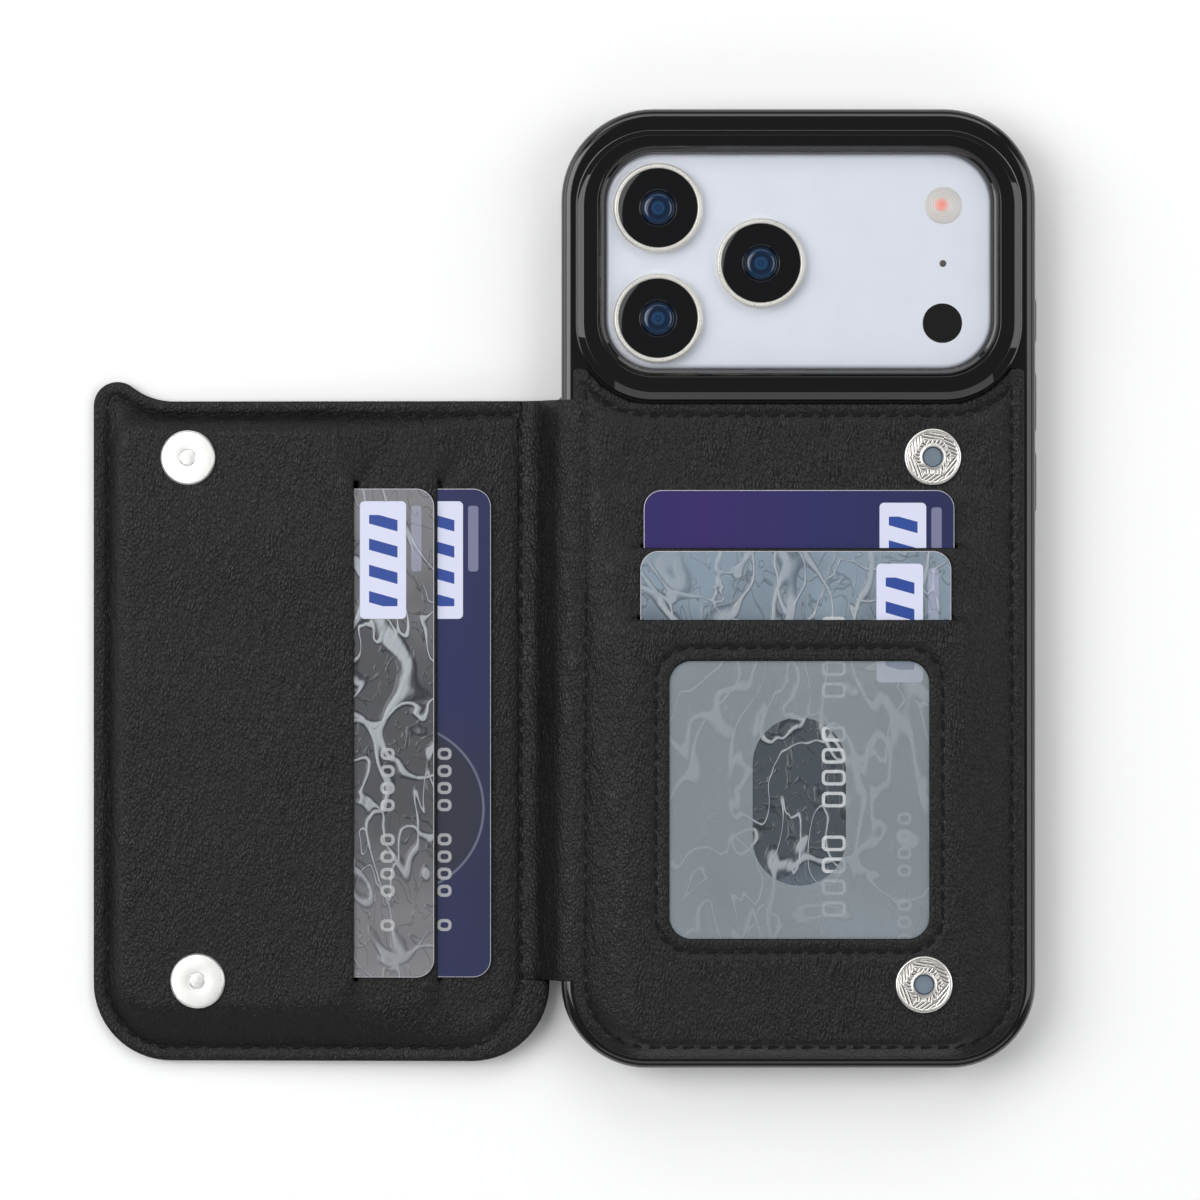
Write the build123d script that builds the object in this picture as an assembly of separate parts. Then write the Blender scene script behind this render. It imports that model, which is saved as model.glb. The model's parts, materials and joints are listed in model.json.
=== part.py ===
from build123d import *
import os
from math import asin, atan2, cos, degrees, hypot, radians, sin, sqrt

# A wallet case for a large phone, opened out on a table with the screen side down.
# +X runs from the flap to the case, +Y to the phone's top end and +Z up, to the leather side.
# The origin is on the table, at the middle of the opened-out case. All sizes are in millimetres.
# The case parts are modelled about the shell's own centre line, and case_x moves them to that origin.

# ---- phone ----
phone_w = 78.0
phone_h = 163.4
phone_t = 8.75
phone_corner_top = 13.9
phone_corner_bottom = 12.7
phone_edge_round = 1.5
screen_t = 0.8
screen_inset = 1.6
back_glass_t = 0.6
back_glass_margin = 3.0
back_glass_gap = 0.05
plateau_w = 67.3
plateau_h = 37.5
plateau_corner = 8.6
plateau_t = 2.2
plateau_edge_round = 0.7
plateau_y = 57.0
lens_ring_r = 7.8
lens_ring_wall = 0.9
lens_ring_t = 1.9
lens_glass_drop = 0.3
lens_spots = {"upper": (-24.5, 66.2), "lower": (-24.5, 47.0), "middle": (-6.6, 56.6)}
flash_r = 3.25
flash_spot = (25.2, 66.7)
sensor_r = 3.45
sensor_spot = (25.0, 46.2)
microphone_r = 0.6
microphone_spot = (25.1, 56.6)
small_lens_t = 0.1
port_w = 8.9
port_h = 3.0
port_depth = 6.5
speaker_hole_r = 0.7
speaker_hole_pitch = 2.9
speaker_hole_depth = 2.0
speaker_first_x = 12.0
speaker_count = 4

# ---- moulded shell ----
wall_side = 2.25
wall_end = 1.85
phone_gap = 0.1
back_wall = 1.6
rim_proud = 0.9
shell_edge_back = 1.8
shell_edge_front = 0.9
port_slot_w = 52.0
port_slot_h = 6.2
top_hole_r = 0.9
top_hole_x = -10.0

# ---- camera guard ring ----
guard_gap = 0.3
guard_w = 77.6
guard_h = 47.2
guard_corner = 13.4
guard_y = 56.2
guard_t = 3.3
guard_outer_bevel = 0.9
guard_inner_bevel = 0.7

# ---- button pads: side, centre along Y, length ----
pads = {
    "action": (1, 46.9, 8.0),
    "volume_up": (1, 32.7, 10.6),
    "volume_down": (1, 18.7, 10.6),
    "power": (-1, 25.5, 16.0),
    "capture": (-1, -24.0, 14.0),
}
pad_h = 3.4
pad_proud = 0.35
pad_gap = 0.12
pad_travel = 0.4

# ---- cards, as ISO 7810 ID-1 ----
card_long = 85.6
card_short = 53.98
card_t = 0.76
card_corner = 3.18

# ---- wallet layers ----
board_t = 0.5
flap_board_t = 0.6
board_gap = 0.1
leather_t = 0.5
lining_t = 0.4
divider_t = 0.4
film_t = 0.2
roof_t = 0.5
flap_roof_t = 0.5
slot_gap = 0.04
slit_gap = 0.1
washer_room = 0.24
pocket_wall = 0.6
pocket_foot_wall = 0.25
pocket_side_gap = 0.15
pocket_foot_gap = 0.1
floor_setback = 0.4
thread_w = 0.4
thread_t = 0.15

# ---- back panel ----
panel_inset = 2.1
panel_foot_inset = 1.75
panel_top = 38.4
panel_top_corner = 1.2
seam_inset = 2.0
board_inset = 0.4
slit_upper_y = 7.3
slit_lower_y = -5.2
card_upper_show = 9.8
card_lower_show = 11.7
card_upper_shift = 0.3
card_lower_shift = -0.3
pocket_x = -0.3
window_w = 45.1
window_h = 48.2
window_y = -36.7
window_corner = 3.8
window_seam = 2.35
film_margin = 1.6
thumb_hole_w = 16.2
thumb_hole_h = 29.2
thumb_hole_y = -37.0

# ---- snaps ----
snap_r = 4.95
snap_cap_t = 0.9
snap_cap_skin = 0.3
snap_hole_r = 1.75
snap_edge = 0.3
magnet_gap = 0.05
rivet_r = 0.9
rivet_gap = 0.05
rivet_head_r = 1.6
rivet_head_t = 0.3
washer_r = 3.4
washer_t = 0.2
disc_r = 4.8
disc_t = 0.8
disc_rivet_r = 1.4
disc_rivet_gap = 0.02
snap_upper = (23.3, 22.9)
snap_lower = (21.6, -68.7)
closed_gap = 0.1

# ---- spine and flap ----
fold_inset = 0.5
spine_slope = 60.0
spine_lean = 20.0
spine_bottom = -68.4
spine_top = 32.9
fold_gap = 0.6
spine_overlap = 6.0
flap_w = 77.6
flap_bottom = -82.9
flap_top = 32.9
flap_corner = 13.6
flap_ear = 2.6
tab_r = 4.2
tab_rise = 3.45
tab_hollow_r = 12.0
flap_seam = 2.4
flap_board_inset = 3.2
slit_outer_u = 31.3
slit_inner_u = 16.7
flap_card_outer_u = 17.5
flap_card_inner_u = 7.6
flap_card_y = -25.3
flap_pocket_bottom = -74.8
flap_pocket_top = 29.0
flap_pocket_end_u = 72.6

# ---- sizes that follow ----
shell_w = phone_w + 2 * (wall_side + phone_gap)
shell_h = phone_h + 2 * (wall_end + phone_gap)
corner_growth = (wall_side + wall_end) / 2 + phone_gap
screen_z = rim_proud
phone_back_z = screen_z + phone_t
roof_z = phone_back_z + phone_gap
back_z = roof_z + back_wall
phone_mid_z = screen_z + phone_t / 2
plateau_top_z = phone_back_z + plateau_t

panel_w = shell_w - 2 * panel_inset
panel_bottom = -shell_h / 2 + panel_foot_inset
panel_corner = phone_corner_bottom + corner_growth - panel_inset

pocket_half = card_short / 2 + max(abs(card_upper_shift), abs(card_lower_shift)) + pocket_side_gap
card_upper_y = slit_upper_y + card_upper_show - card_long / 2
card_lower_y = slit_lower_y + card_lower_show - card_long / 2
pocket_bottom = card_lower_y - card_long / 2 - pocket_foot_gap

plate_z = back_z + board_t
plate_top = plate_z + leather_t
# The pocket's floor is as high as the upper snap, so that a card slides out over the snap.
floor_top = plate_top + snap_cap_t
upper_card_z = floor_top + slot_gap
divider_z = upper_card_z + card_t + slot_gap
lower_card_z = divider_z + divider_t + slot_gap
film_z = lower_card_z + card_t + slot_gap
back_roof_z = film_z + film_t
back_top = back_roof_z + roof_t
snap_top = back_top + snap_cap_t

# Heights in the flap are from the middle of its outer leather, which is where it folds.
flap_inner_z = leather_t / 2
flap_plate_z = flap_inner_z + flap_board_t
flap_plate_top = flap_plate_z + lining_t
flap_card_inner_z = flap_plate_top + slot_gap
flap_divider_z = flap_card_inner_z + card_t + slot_gap
flap_card_outer_z = flap_divider_z + divider_t + slot_gap
flap_roof_z = flap_card_outer_z + card_t + washer_room
flap_top_z = flap_roof_z + flap_roof_t
disc_top = flap_top_z + disc_t

# The spine reaches as high as the closed stack of both snaps.
fold_z = plate_z + leather_t / 2
fold_x = -shell_w / 2 + fold_inset
closed_height = snap_top - fold_z + closed_gap + disc_top
spine_len = closed_height / cos(radians(spine_lean))
flap_fold_x = fold_x - spine_len * cos(radians(spine_slope))
flap_fold_z = fold_z - spine_len * sin(radians(spine_slope))
flap_tilt = degrees(asin(flap_fold_z / hypot(flap_w, leather_t / 2)) - atan2(leather_t / 2, flap_w))
closed_flap_fold_x = fold_x + spine_len * sin(radians(spine_lean))

# Each disc on the flap comes down on its own snap when the flap is closed.
flap_snaps = [
    (-(snap_upper[0] - closed_flap_fold_x), snap_upper[1]),
    (-(snap_lower[0] - closed_flap_fold_x), snap_lower[1]),
]

open_reach = -flap_fold_x + flap_w * cos(radians(flap_tilt)) + flap_plate_top * sin(radians(flap_tilt))
case_x = (open_reach - shell_w / 2 - pad_proud) / 2

case_place = Pos(case_x, 0, 0)
spine_place = Pos(case_x + fold_x, 0, fold_z) * Rot(0, -spine_slope, 0)
flap_place = Pos(case_x + flap_fold_x, 0, flap_fold_z) * Rot(0, -flap_tilt, 0)


def plate(outline, low, high):
    """A flat sketch raised from height low to height high."""
    return extrude(Pos(0, 0, low) * outline, high - low)


def rounded(x0, x1, y0, y1, low_r, high_r=None):
    """A rectangle with rounded corners: low_r at its two low-Y corners and high_r at the others."""
    high_r = low_r if high_r is None else high_r
    shape = Pos((x0 + x1) / 2, (y0 + y1) / 2) * Rectangle(x1 - x0, y1 - y0)
    if low_r > 0:
        shape = fillet(shape.vertices().group_by(Axis.Y)[0], low_r)
    if high_r > 0:
        shape = fillet(shape.vertices().group_by(Axis.Y)[-1], high_r)
    return shape


def centred(width, height, corner, y=0.0):
    return rounded(-width / 2, width / 2, y - height / 2, y + height / 2, corner)


def disc(spot, radius, low, high):
    return plate(Pos(*spot) * Circle(radius), low, high)


def save(name, *solids):
    export_step(Compound(children=list(solids)) if len(solids) > 1 else solids[0], f"parts/{name}.step")


def phone_outline(growth_x=0.0, growth_y=0.0):
    """The phone's outline, grown by a wall on each side."""
    growth = (growth_x + growth_y) / 2
    return rounded(
        -phone_w / 2 - growth_x,
        phone_w / 2 + growth_x,
        -phone_h / 2 - growth_y,
        phone_h / 2 + growth_y,
        phone_corner_bottom + growth,
        phone_corner_top + growth,
    )


def guard_outline(growth=0.0):
    return centred(guard_w + 2 * growth, guard_h + 2 * growth, guard_corner + growth, guard_y)


def plateau_outline(growth=0.0):
    return centred(plateau_w + 2 * growth, plateau_h + 2 * growth, plateau_corner + growth, plateau_y)


def panel_outline(margin=0.0):
    """The back panel's outline, taken in by margin. Its top follows the camera guard."""
    body = rounded(
        -panel_w / 2 + margin,
        panel_w / 2 - margin,
        panel_bottom + margin,
        panel_top - margin,
        panel_corner - margin,
        panel_top_corner,
    )
    return body - guard_outline(guard_gap + margin)


def pad_box(side, y, length, inner, outer, growth):
    """A button pad's block through the side wall, from inner to outer along X, grown by growth."""
    face = Plane.YZ * fillet(
        Rectangle(length + 2 * growth, pad_h + 2 * growth).vertices(), pad_h / 2 + growth - 0.01
    )
    block = extrude(face, outer - inner)
    if side < 0:
        block = Rot(0, 0, 180) * block
    return Pos(side * inner, y, phone_mid_z) * block


def make_shell():
    body = plate(phone_outline(wall_side + phone_gap, wall_end + phone_gap), 0, back_z)
    body = fillet(body.faces().sort_by(Axis.Z)[-1].edges(), shell_edge_back)
    body = fillet(body.faces().sort_by(Axis.Z)[0].edges(), shell_edge_front)
    body -= plate(phone_outline(phone_gap, phone_gap), -1, roof_z)
    body -= plate(plateau_outline(guard_gap), roof_z - 1, back_z + 1)
    slot = fillet(Rectangle(port_slot_w, port_slot_h).vertices(), port_slot_h / 2 - 0.01)
    body -= Pos(0, -phone_h / 2 + 1, phone_mid_z) * extrude(Plane.XZ * slot, wall_end + 4)
    body -= Pos(top_hole_x, phone_h / 2 + wall_end / 2, phone_mid_z) * Rot(90, 0, 0) * Cylinder(
        top_hole_r, wall_end * 3
    )
    for side, y, length in pads.values():
        body -= pad_box(side, y, length, phone_w / 2 - 1, shell_w / 2 + 1, pad_gap)
    return body


def make_guard():
    ring = plate(guard_outline(), back_z, back_z + guard_t)
    ring = chamfer(ring.faces().sort_by(Axis.Z)[-1].edges(), guard_outer_bevel)
    ring -= plate(plateau_outline(guard_gap), back_z - 1, back_z + guard_t + 1)
    return chamfer(
        ring.faces().filter_by(GeomType.PLANE).sort_by(Axis.Z)[-1].inner_wires()[0].edges(),
        guard_inner_bevel,
    )


def make_pads():
    """Each pad stands pad_proud out of the wall, and stops clear of the phone when pressed."""
    inner = phone_w / 2 + pad_travel + phone_gap
    for name, (side, y, length) in pads.items():
        pad = pad_box(side, y, length, inner, shell_w / 2 + pad_proud, 0)
        outer = pad.faces().sort_by(Axis.X)[-1 if side > 0 else 0]
        save("pad_" + name, case_place * chamfer(outer.edges(), pad_proud / 2))


def card(x, y, z):
    """An upright card with its centre at x, y and its underside at z."""
    return plate(Pos(x, y) * fillet(Rectangle(card_short, card_long).vertices(), card_corner), z, z + card_t)


def pocket_area(side_wall, foot_wall, top):
    """The room of the back card pocket in plan, grown by a wall on its two sides and its foot."""
    return rounded(
        pocket_x - pocket_half - side_wall,
        pocket_x + pocket_half + side_wall,
        pocket_bottom - foot_wall,
        top,
        card_corner if side_wall > 0 else 0,
        0,
    )


def spine_margin():
    """The strip of panel leather that runs out over the shell's edge to the fold."""
    return rounded(fold_x + fold_gap, -panel_w / 2 + spine_overlap, spine_bottom, spine_top, 0)


def snap_cut(spot, low, high, roof_low):
    """The rivet's hole through leather from low to high, and the washer's seat at roof_low."""
    return disc(spot, rivet_r + rivet_gap, low - 1, high + 1) + disc(
        spot, washer_r + rivet_gap, roof_low, roof_low + washer_t + rivet_gap
    )


def make_back_leather():
    sheet = plate(panel_outline() + (spine_margin() - guard_outline(guard_gap)), plate_z, plate_top)
    sheet += plate(pocket_area(pocket_wall, pocket_foot_wall, slit_lower_y), plate_top, back_top)
    sheet -= plate(pocket_area(0, 0, slit_lower_y + 1), floor_top, back_roof_z)
    card_end = card_upper_y + card_long / 2 - floor_setback
    sheet += plate(pocket_area(0, 0, card_end), plate_top, floor_top)
    sheet -= plate(centred(window_w, window_h, window_corner, window_y), back_roof_z, back_top)
    sheet -= snap_cut(snap_upper, plate_z, plate_top, plate_z)
    sheet -= disc(snap_lower, rivet_r + rivet_gap, back_roof_z - 0.5, back_top + 1)
    return sheet


def make_back_divider():
    """The leather band between the two slits, with its tongue down between the two cards."""
    inner = pocket_half - pocket_side_gap / 2
    tongue = rounded(pocket_x - inner, pocket_x + inner, pocket_bottom + pocket_foot_gap, slit_upper_y, 0)
    legs = rounded(
        pocket_x - pocket_half - pocket_wall,
        pocket_x + pocket_half + pocket_wall,
        slit_lower_y + slit_gap,
        slit_upper_y,
        0,
    ) - rounded(pocket_x - pocket_half, pocket_x + pocket_half, slit_lower_y - 1, slit_upper_y + 1, 0)
    return (
        plate(tongue, divider_z, divider_z + divider_t)
        + plate(legs, floor_top, divider_z + divider_t)
        + plate(
            rounded(
                pocket_x - pocket_half - pocket_wall,
                pocket_x + pocket_half + pocket_wall,
                slit_lower_y + slit_gap,
                slit_upper_y,
                0,
            ),
            divider_z,
            divider_z + divider_t,
        )
    )


def make_film():
    sheet = centred(window_w + 2 * film_margin, window_h + 2 * film_margin, window_corner, window_y)
    hole = Pos(0, thumb_hole_y) * SlotOverall(thumb_hole_h, thumb_hole_w, rotation=90)
    return plate(sheet - hole, film_z, film_z + film_t)


def loop(outer, inner, low):
    """A flat line of thread between two outlines."""
    return plate(outer - inner, low, low + thread_t)


def snap_cap(spot, low):
    """A pressed cap, open underneath for its magnet, with a hole at its middle."""
    cap = disc(spot, snap_r, low, low + snap_cap_t)
    cap = chamfer(cap.faces().sort_by(Axis.Z)[-1].edges(), snap_edge)
    cap -= disc(spot, snap_r - snap_cap_skin, low - 1, low + snap_cap_t - snap_cap_skin)
    return cap - disc(spot, snap_hole_r, low, low + snap_cap_t + 1)


def snap_magnet(spot, low):
    ring = disc(spot, snap_r - snap_cap_skin - magnet_gap, low, low + snap_cap_t - snap_cap_skin - magnet_gap)
    return ring - disc(spot, snap_hole_r, low - 1, low + snap_cap_t)


def snap_rivet(spot, foot, low):
    """A rivet from the washer's underside at foot up to a head inside the magnet, above low."""
    return disc(spot, rivet_r, foot, low) + disc(spot, rivet_head_r, low, low + rivet_head_t)


def washer(spot, low):
    return disc(spot, washer_r, low, low + washer_t) - disc(spot, rivet_r + rivet_gap, low - 1, low + 1)


def flap_outline(margin=0.0, fold_edge=0.0):
    """The flap's outline about its fold, taken in by margin. It reaches to x = fold_edge along the spine,
    and its lower corner stands flap_ear past the fold below the spine."""
    left = -flap_w + margin
    low = flap_bottom + margin
    high = flap_top - margin
    corner = flap_corner - margin
    tab = tab_r - margin if margin < tab_r - 0.5 else 0.5
    hollow = tab_hollow_r + margin
    tab_x = left + tab
    tab_y = flap_top + tab_rise - tab_r
    hollow_y = high + hollow
    hollow_x = tab_x + sqrt((tab + hollow) ** 2 - (hollow_y - tab_y) ** 2)
    lean = degrees(atan2(hollow_y - tab_y, hollow_x - tab_x))
    right = flap_ear - margin
    foot = spine_bottom - margin
    edges = [
        CenterArc((tab_x, tab_y), tab, lean, 180 - lean),
        Line((left, tab_y), (left, low + corner)),
        CenterArc((left + corner, low + corner), corner, 180, 90),
        Line((left + corner, low), (right - corner, low)),
        CenterArc((right - corner, low + corner), corner, 270, 90),
    ]
    if low + corner < foot:
        edges.append(Line((right, low + corner), (right, foot)))
    edges += [
        Line(edges[-1] @ 1, (fold_edge, max(foot, low + corner))),
        Line((fold_edge, max(foot, low + corner)), (fold_edge, high)),
        Line((fold_edge, high), (hollow_x, high)),
        CenterArc((hollow_x, hollow_y), hollow, 270, lean - 90),
    ]
    return make_face(edges)


def flap_room(growth, end_growth):
    """The raised pocket area of the flap in plan."""
    return rounded(
        -flap_pocket_end_u - growth,
        -slit_outer_u + end_growth,
        flap_pocket_bottom - growth,
        flap_pocket_top + growth,
        0,
    )


def make_flap_leather():
    sheet = plate(flap_outline(0, -fold_gap), flap_inner_z, flap_plate_top)
    sheet -= plate(flap_outline(flap_board_inset, -fold_gap - flap_board_inset), flap_inner_z - 1, flap_plate_z)
    sheet += plate(flap_room(pocket_wall, 0), flap_plate_top, flap_top_z)
    sheet -= plate(flap_room(0, 1), flap_plate_top, flap_roof_z)
    for spot in flap_snaps:
        sheet -= disc(spot, rivet_r + rivet_gap, flap_roof_z - 0.5, flap_top_z + 1)
    return sheet


def make_flap_divider():
    """The leather band between the two flap slits, with its tongue between the two cards."""
    half = card_long / 2 + pocket_side_gap
    ends = half + pocket_wall
    tongue_end = -flap_pocket_end_u + slit_gap
    band = rounded(-slit_outer_u + slit_gap, -slit_inner_u, flap_card_y - ends, flap_card_y + ends, 0)
    open_band = rounded(-slit_outer_u - 1, -slit_inner_u + 1, flap_card_y - half, flap_card_y + half, 0)
    tongue = rounded(tongue_end, -slit_inner_u, flap_card_y - half, flap_card_y + half, 0)
    return (
        plate(band, flap_divider_z, flap_divider_z + divider_t)
        + plate(band - open_band, flap_plate_top, flap_divider_z)
        + plate(tongue, flap_divider_z, flap_divider_z + divider_t)
    )


def flap_card(edge_u, z):
    """A card in the flap whose edge nearest the spine is edge_u from the fold."""
    return card(-edge_u - card_short / 2, flap_card_y, z)


def save_case():
    save("tpu_shell", case_place * make_shell())
    save("camera_guard", case_place * make_guard())
    make_pads()


def save_back_panel():
    save("back_board", case_place * plate(panel_outline(board_inset), back_z, plate_z))
    save("back_pocket_leather", case_place * make_back_leather())
    save("back_card_divider", case_place * make_back_divider())
    save("id_window_film", case_place * make_film())
    seam = loop(panel_outline(seam_inset), panel_outline(seam_inset + thread_w), plate_top)
    save("back_thread", case_place * seam)
    window_out = window_seam + thread_w / 2
    window_in = window_seam - thread_w / 2
    window_loop = loop(
        centred(window_w + 2 * window_out, window_h + 2 * window_out, window_corner + window_out, window_y),
        centred(window_w + 2 * window_in, window_h + 2 * window_in, window_corner + window_in, window_y),
        back_top,
    )
    save("window_thread", case_place * window_loop)
    save("back_snap_cap_upper", case_place * snap_cap(snap_upper, plate_top))
    save("back_snap_cap_lower", case_place * snap_cap(snap_lower, back_top))
    save(
        "back_snap_magnets",
        case_place * snap_magnet(snap_upper, plate_top),
        case_place * snap_magnet(snap_lower, back_top),
    )
    save(
        "back_snap_rivets",
        case_place * snap_rivet(snap_upper, plate_z, plate_top),
        case_place * snap_rivet(snap_lower, film_z, back_top),
    )
    save(
        "back_snap_washers",
        case_place * washer(snap_upper, plate_z),
        case_place * washer(snap_lower, film_z),
    )


def save_spine():
    strip = rounded(-spine_len + fold_gap, -fold_gap, spine_bottom, spine_top, 0)
    save("spine_leather", spine_place * plate(strip, -lining_t, 0))
    save("spine_lining", spine_place * plate(strip, 0, lining_t))


def save_flap():
    save("flap_outer_leather", flap_place * plate(flap_outline(0, -fold_gap), -leather_t / 2, flap_inner_z))
    board_edge = flap_board_inset + board_gap
    board = flap_outline(board_edge, -fold_gap - board_edge)
    save("flap_board", flap_place * plate(board, flap_inner_z, flap_plate_z))
    save("flap_pocket_leather", flap_place * make_flap_leather())
    save("flap_card_divider", flap_place * make_flap_divider())
    seam = loop(
        flap_outline(flap_seam, -flap_seam),
        flap_outline(flap_seam + thread_w, -flap_seam - thread_w),
        flap_plate_top,
    )
    save("flap_thread", flap_place * (seam - plate(flap_room(pocket_wall, 0), 0, flap_top_z)))
    for name, spot in zip(("upper", "lower"), flap_snaps):
        steel = disc(spot, disc_r, flap_top_z, disc_top)
        steel = chamfer(steel.faces().sort_by(Axis.Z)[-1].edges(), snap_edge)
        steel -= disc(spot, disc_rivet_r + disc_rivet_gap, flap_top_z - 1, disc_top + 1)
        save(f"flap_snap_disc_{name}", flap_place * steel)
    rivets = [
        disc(spot, disc_rivet_r, flap_top_z, disc_top) + disc(spot, rivet_r, flap_roof_z - washer_t, flap_top_z)
        for spot in flap_snaps
    ]
    save("flap_snap_rivets", *[flap_place * r for r in rivets])
    save("flap_snap_washers", *[flap_place * washer(spot, flap_roof_z - washer_t) for spot in flap_snaps])


def save_cards():
    save("card_back_upper", case_place * card(pocket_x + card_upper_shift, card_upper_y, upper_card_z))
    save("card_back_lower", case_place * card(pocket_x + card_lower_shift, card_lower_y, lower_card_z))
    save("card_flap_inner", flap_place * flap_card(flap_card_inner_u, flap_card_inner_z))
    save("card_flap_outer", flap_place * flap_card(flap_card_outer_u, flap_card_outer_z))


def make_phone_frame():
    body = plate(phone_outline(), screen_z, phone_back_z)
    body = fillet(body.faces().sort_by(Axis.Z)[-1].edges(), phone_edge_round)
    body = fillet(body.faces().sort_by(Axis.Z)[0].edges(), phone_edge_round)
    body -= plate(phone_outline(-screen_inset, -screen_inset), screen_z - 1, screen_z + screen_t)
    body -= plate(back_glass_outline(), phone_back_z - back_glass_t, phone_back_z + 1)
    port = fillet(Rectangle(port_w, port_h).vertices(), port_h / 2 - 0.01)
    body -= Pos(0, -phone_h / 2 + port_depth, phone_mid_z) * extrude(Plane.XZ * port, port_depth + 1)
    for side in (-1, 1):
        for i in range(speaker_count):
            x = side * (speaker_first_x + i * speaker_hole_pitch)
            body -= Pos(x, -phone_h / 2, phone_mid_z) * Rot(90, 0, 0) * Cylinder(
                speaker_hole_r, 2 * speaker_hole_depth
            )
    return body


def back_glass_outline(shrink=0.0):
    top = plateau_y - plateau_h / 2 - 3 * back_glass_margin
    return rounded(
        -phone_w / 2 + back_glass_margin + shrink,
        phone_w / 2 - back_glass_margin - shrink,
        -phone_h / 2 + back_glass_margin + shrink,
        top - shrink,
        phone_corner_bottom - back_glass_margin - shrink,
    )


def save_phone():
    save("phone_frame", case_place * make_phone_frame())
    glass = plate(phone_outline(-screen_inset, -screen_inset), screen_z, screen_z + screen_t)
    save("phone_screen_glass", case_place * glass)
    save(
        "phone_back_glass",
        case_place * plate(back_glass_outline(back_glass_gap), phone_back_z - back_glass_t, phone_back_z),
    )
    plateau = plate(plateau_outline(), phone_back_z, plateau_top_z)
    plateau = fillet(plateau.faces().sort_by(Axis.Z)[-1].edges(), plateau_edge_round)
    save("phone_camera_plateau", case_place * plateau)
    inner_r = lens_ring_r - lens_ring_wall
    for name, spot in lens_spots.items():
        ring = disc(spot, lens_ring_r, plateau_top_z, plateau_top_z + lens_ring_t)
        ring = chamfer(ring.faces().sort_by(Axis.Z)[-1].edges(), lens_glass_drop)
        ring -= disc(spot, inner_r, plateau_top_z - 1, plateau_top_z + lens_ring_t + 1)
        save(f"lens_ring_{name}", case_place * ring)
        glass = disc(spot, inner_r, plateau_top_z, plateau_top_z + lens_ring_t - lens_glass_drop)
        save(f"lens_glass_{name}", case_place * glass)
    for name, spot, radius in (
        ("phone_flash", flash_spot, flash_r),
        ("phone_depth_sensor", sensor_spot, sensor_r),
        ("phone_microphone", microphone_spot, microphone_r),
    ):
        save(name, case_place * disc(spot, radius, plateau_top_z, plateau_top_z + small_lens_t))


os.makedirs("parts", exist_ok=True)
save_case()
save_back_panel()
save_spine()
save_flap()
save_cards()
save_phone()
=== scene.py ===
import json
import math
from functools import partial

import bpy
import numpy as np
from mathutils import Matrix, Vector
from mathutils.geometry import delaunay_2d_cdt


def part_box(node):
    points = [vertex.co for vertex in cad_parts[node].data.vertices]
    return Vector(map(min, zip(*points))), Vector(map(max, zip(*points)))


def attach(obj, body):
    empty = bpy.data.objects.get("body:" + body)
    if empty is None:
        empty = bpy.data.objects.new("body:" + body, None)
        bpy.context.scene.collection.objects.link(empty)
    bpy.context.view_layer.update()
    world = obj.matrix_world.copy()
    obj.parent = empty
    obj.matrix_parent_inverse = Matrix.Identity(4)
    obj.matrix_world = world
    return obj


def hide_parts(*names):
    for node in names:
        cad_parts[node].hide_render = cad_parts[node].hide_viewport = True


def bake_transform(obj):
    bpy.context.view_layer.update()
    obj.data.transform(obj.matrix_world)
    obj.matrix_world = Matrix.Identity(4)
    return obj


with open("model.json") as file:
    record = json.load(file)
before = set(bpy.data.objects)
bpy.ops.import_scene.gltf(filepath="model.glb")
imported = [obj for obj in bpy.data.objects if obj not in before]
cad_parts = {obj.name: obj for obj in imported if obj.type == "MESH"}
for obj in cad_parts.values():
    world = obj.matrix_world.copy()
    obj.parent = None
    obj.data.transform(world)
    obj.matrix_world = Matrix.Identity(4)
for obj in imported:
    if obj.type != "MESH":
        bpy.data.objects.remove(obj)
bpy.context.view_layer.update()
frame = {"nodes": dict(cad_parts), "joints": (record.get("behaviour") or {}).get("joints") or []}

mm = 0.001
joints = {joint["name"]: joint for joint in frame["joints"]}
nodes = frame["nodes"]


# where things are, in mm: x is counted from the middle of the shell, z from the table
shellLow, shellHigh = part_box("tpu_shell")
caseX = (shellLow.x + shellHigh.x) / 2 / mm


def caseBox(node):
    low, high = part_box(node)
    return [low.x / mm - caseX, low.y / mm, low.z / mm], [high.x / mm - caseX, high.y / mm, high.z / mm]


def casePlace(points):
    return (np.asarray(points, float) + (caseX, 0, 0)) * mm


# the flap lies a little tilted: its own x runs up to the fold and its z stands off the leather
flapAxis = np.array(joints["card_flap_inner_slide"]["axis"])
flapUp = np.array([-flapAxis[2], 0, flapAxis[0]])
flapFold = np.array(joints["flap_fold"]["pos_m"])
spineFold = np.array(joints["spine_fold"]["pos_m"])


def flapPlace(points):
    p = np.asarray(points, float) * mm
    return flapFold + p[:, :1] * flapAxis + p[:, 1:2] * (0, 1, 0) + p[:, 2:] * flapUp


def flapBox(node):
    p = np.array([v.co for v in nodes[node].data.vertices]) - flapFold
    local = np.stack([p @ flapAxis, p[:, 1], p @ flapUp], 1) / mm
    return local.min(0), local.max(0)


def middle(box):
    return [(a + b) / 2 for a, b in zip(*box)]


print("frame: case middle at", round(caseX, 2), "mm")


# small tools for outlines and meshes
def smooth(t):
    t = np.clip(t, 0, 1)
    return t * t * (3 - 2 * t)


def arc(cx, cy, r, start, turn, steps):
    a = np.radians(start + turn * np.linspace(0, 1, steps + 1))
    return np.stack([cx + r * np.cos(a), cy + r * np.sin(a)], 1)


def roundedLoop(x0, x1, y0, y1, low, high=None, steps=18):
    high = low if high is None else high
    return np.concatenate([
        arc(x1 - low, y0 + low, low, -90, 90, steps),
        arc(x1 - high, y1 - high, high, 0, 90, steps),
        arc(x0 + high, y1 - high, high, 90, 90, steps),
        arc(x0 + low, y0 + low, low, 180, 90, steps),
    ])


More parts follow.
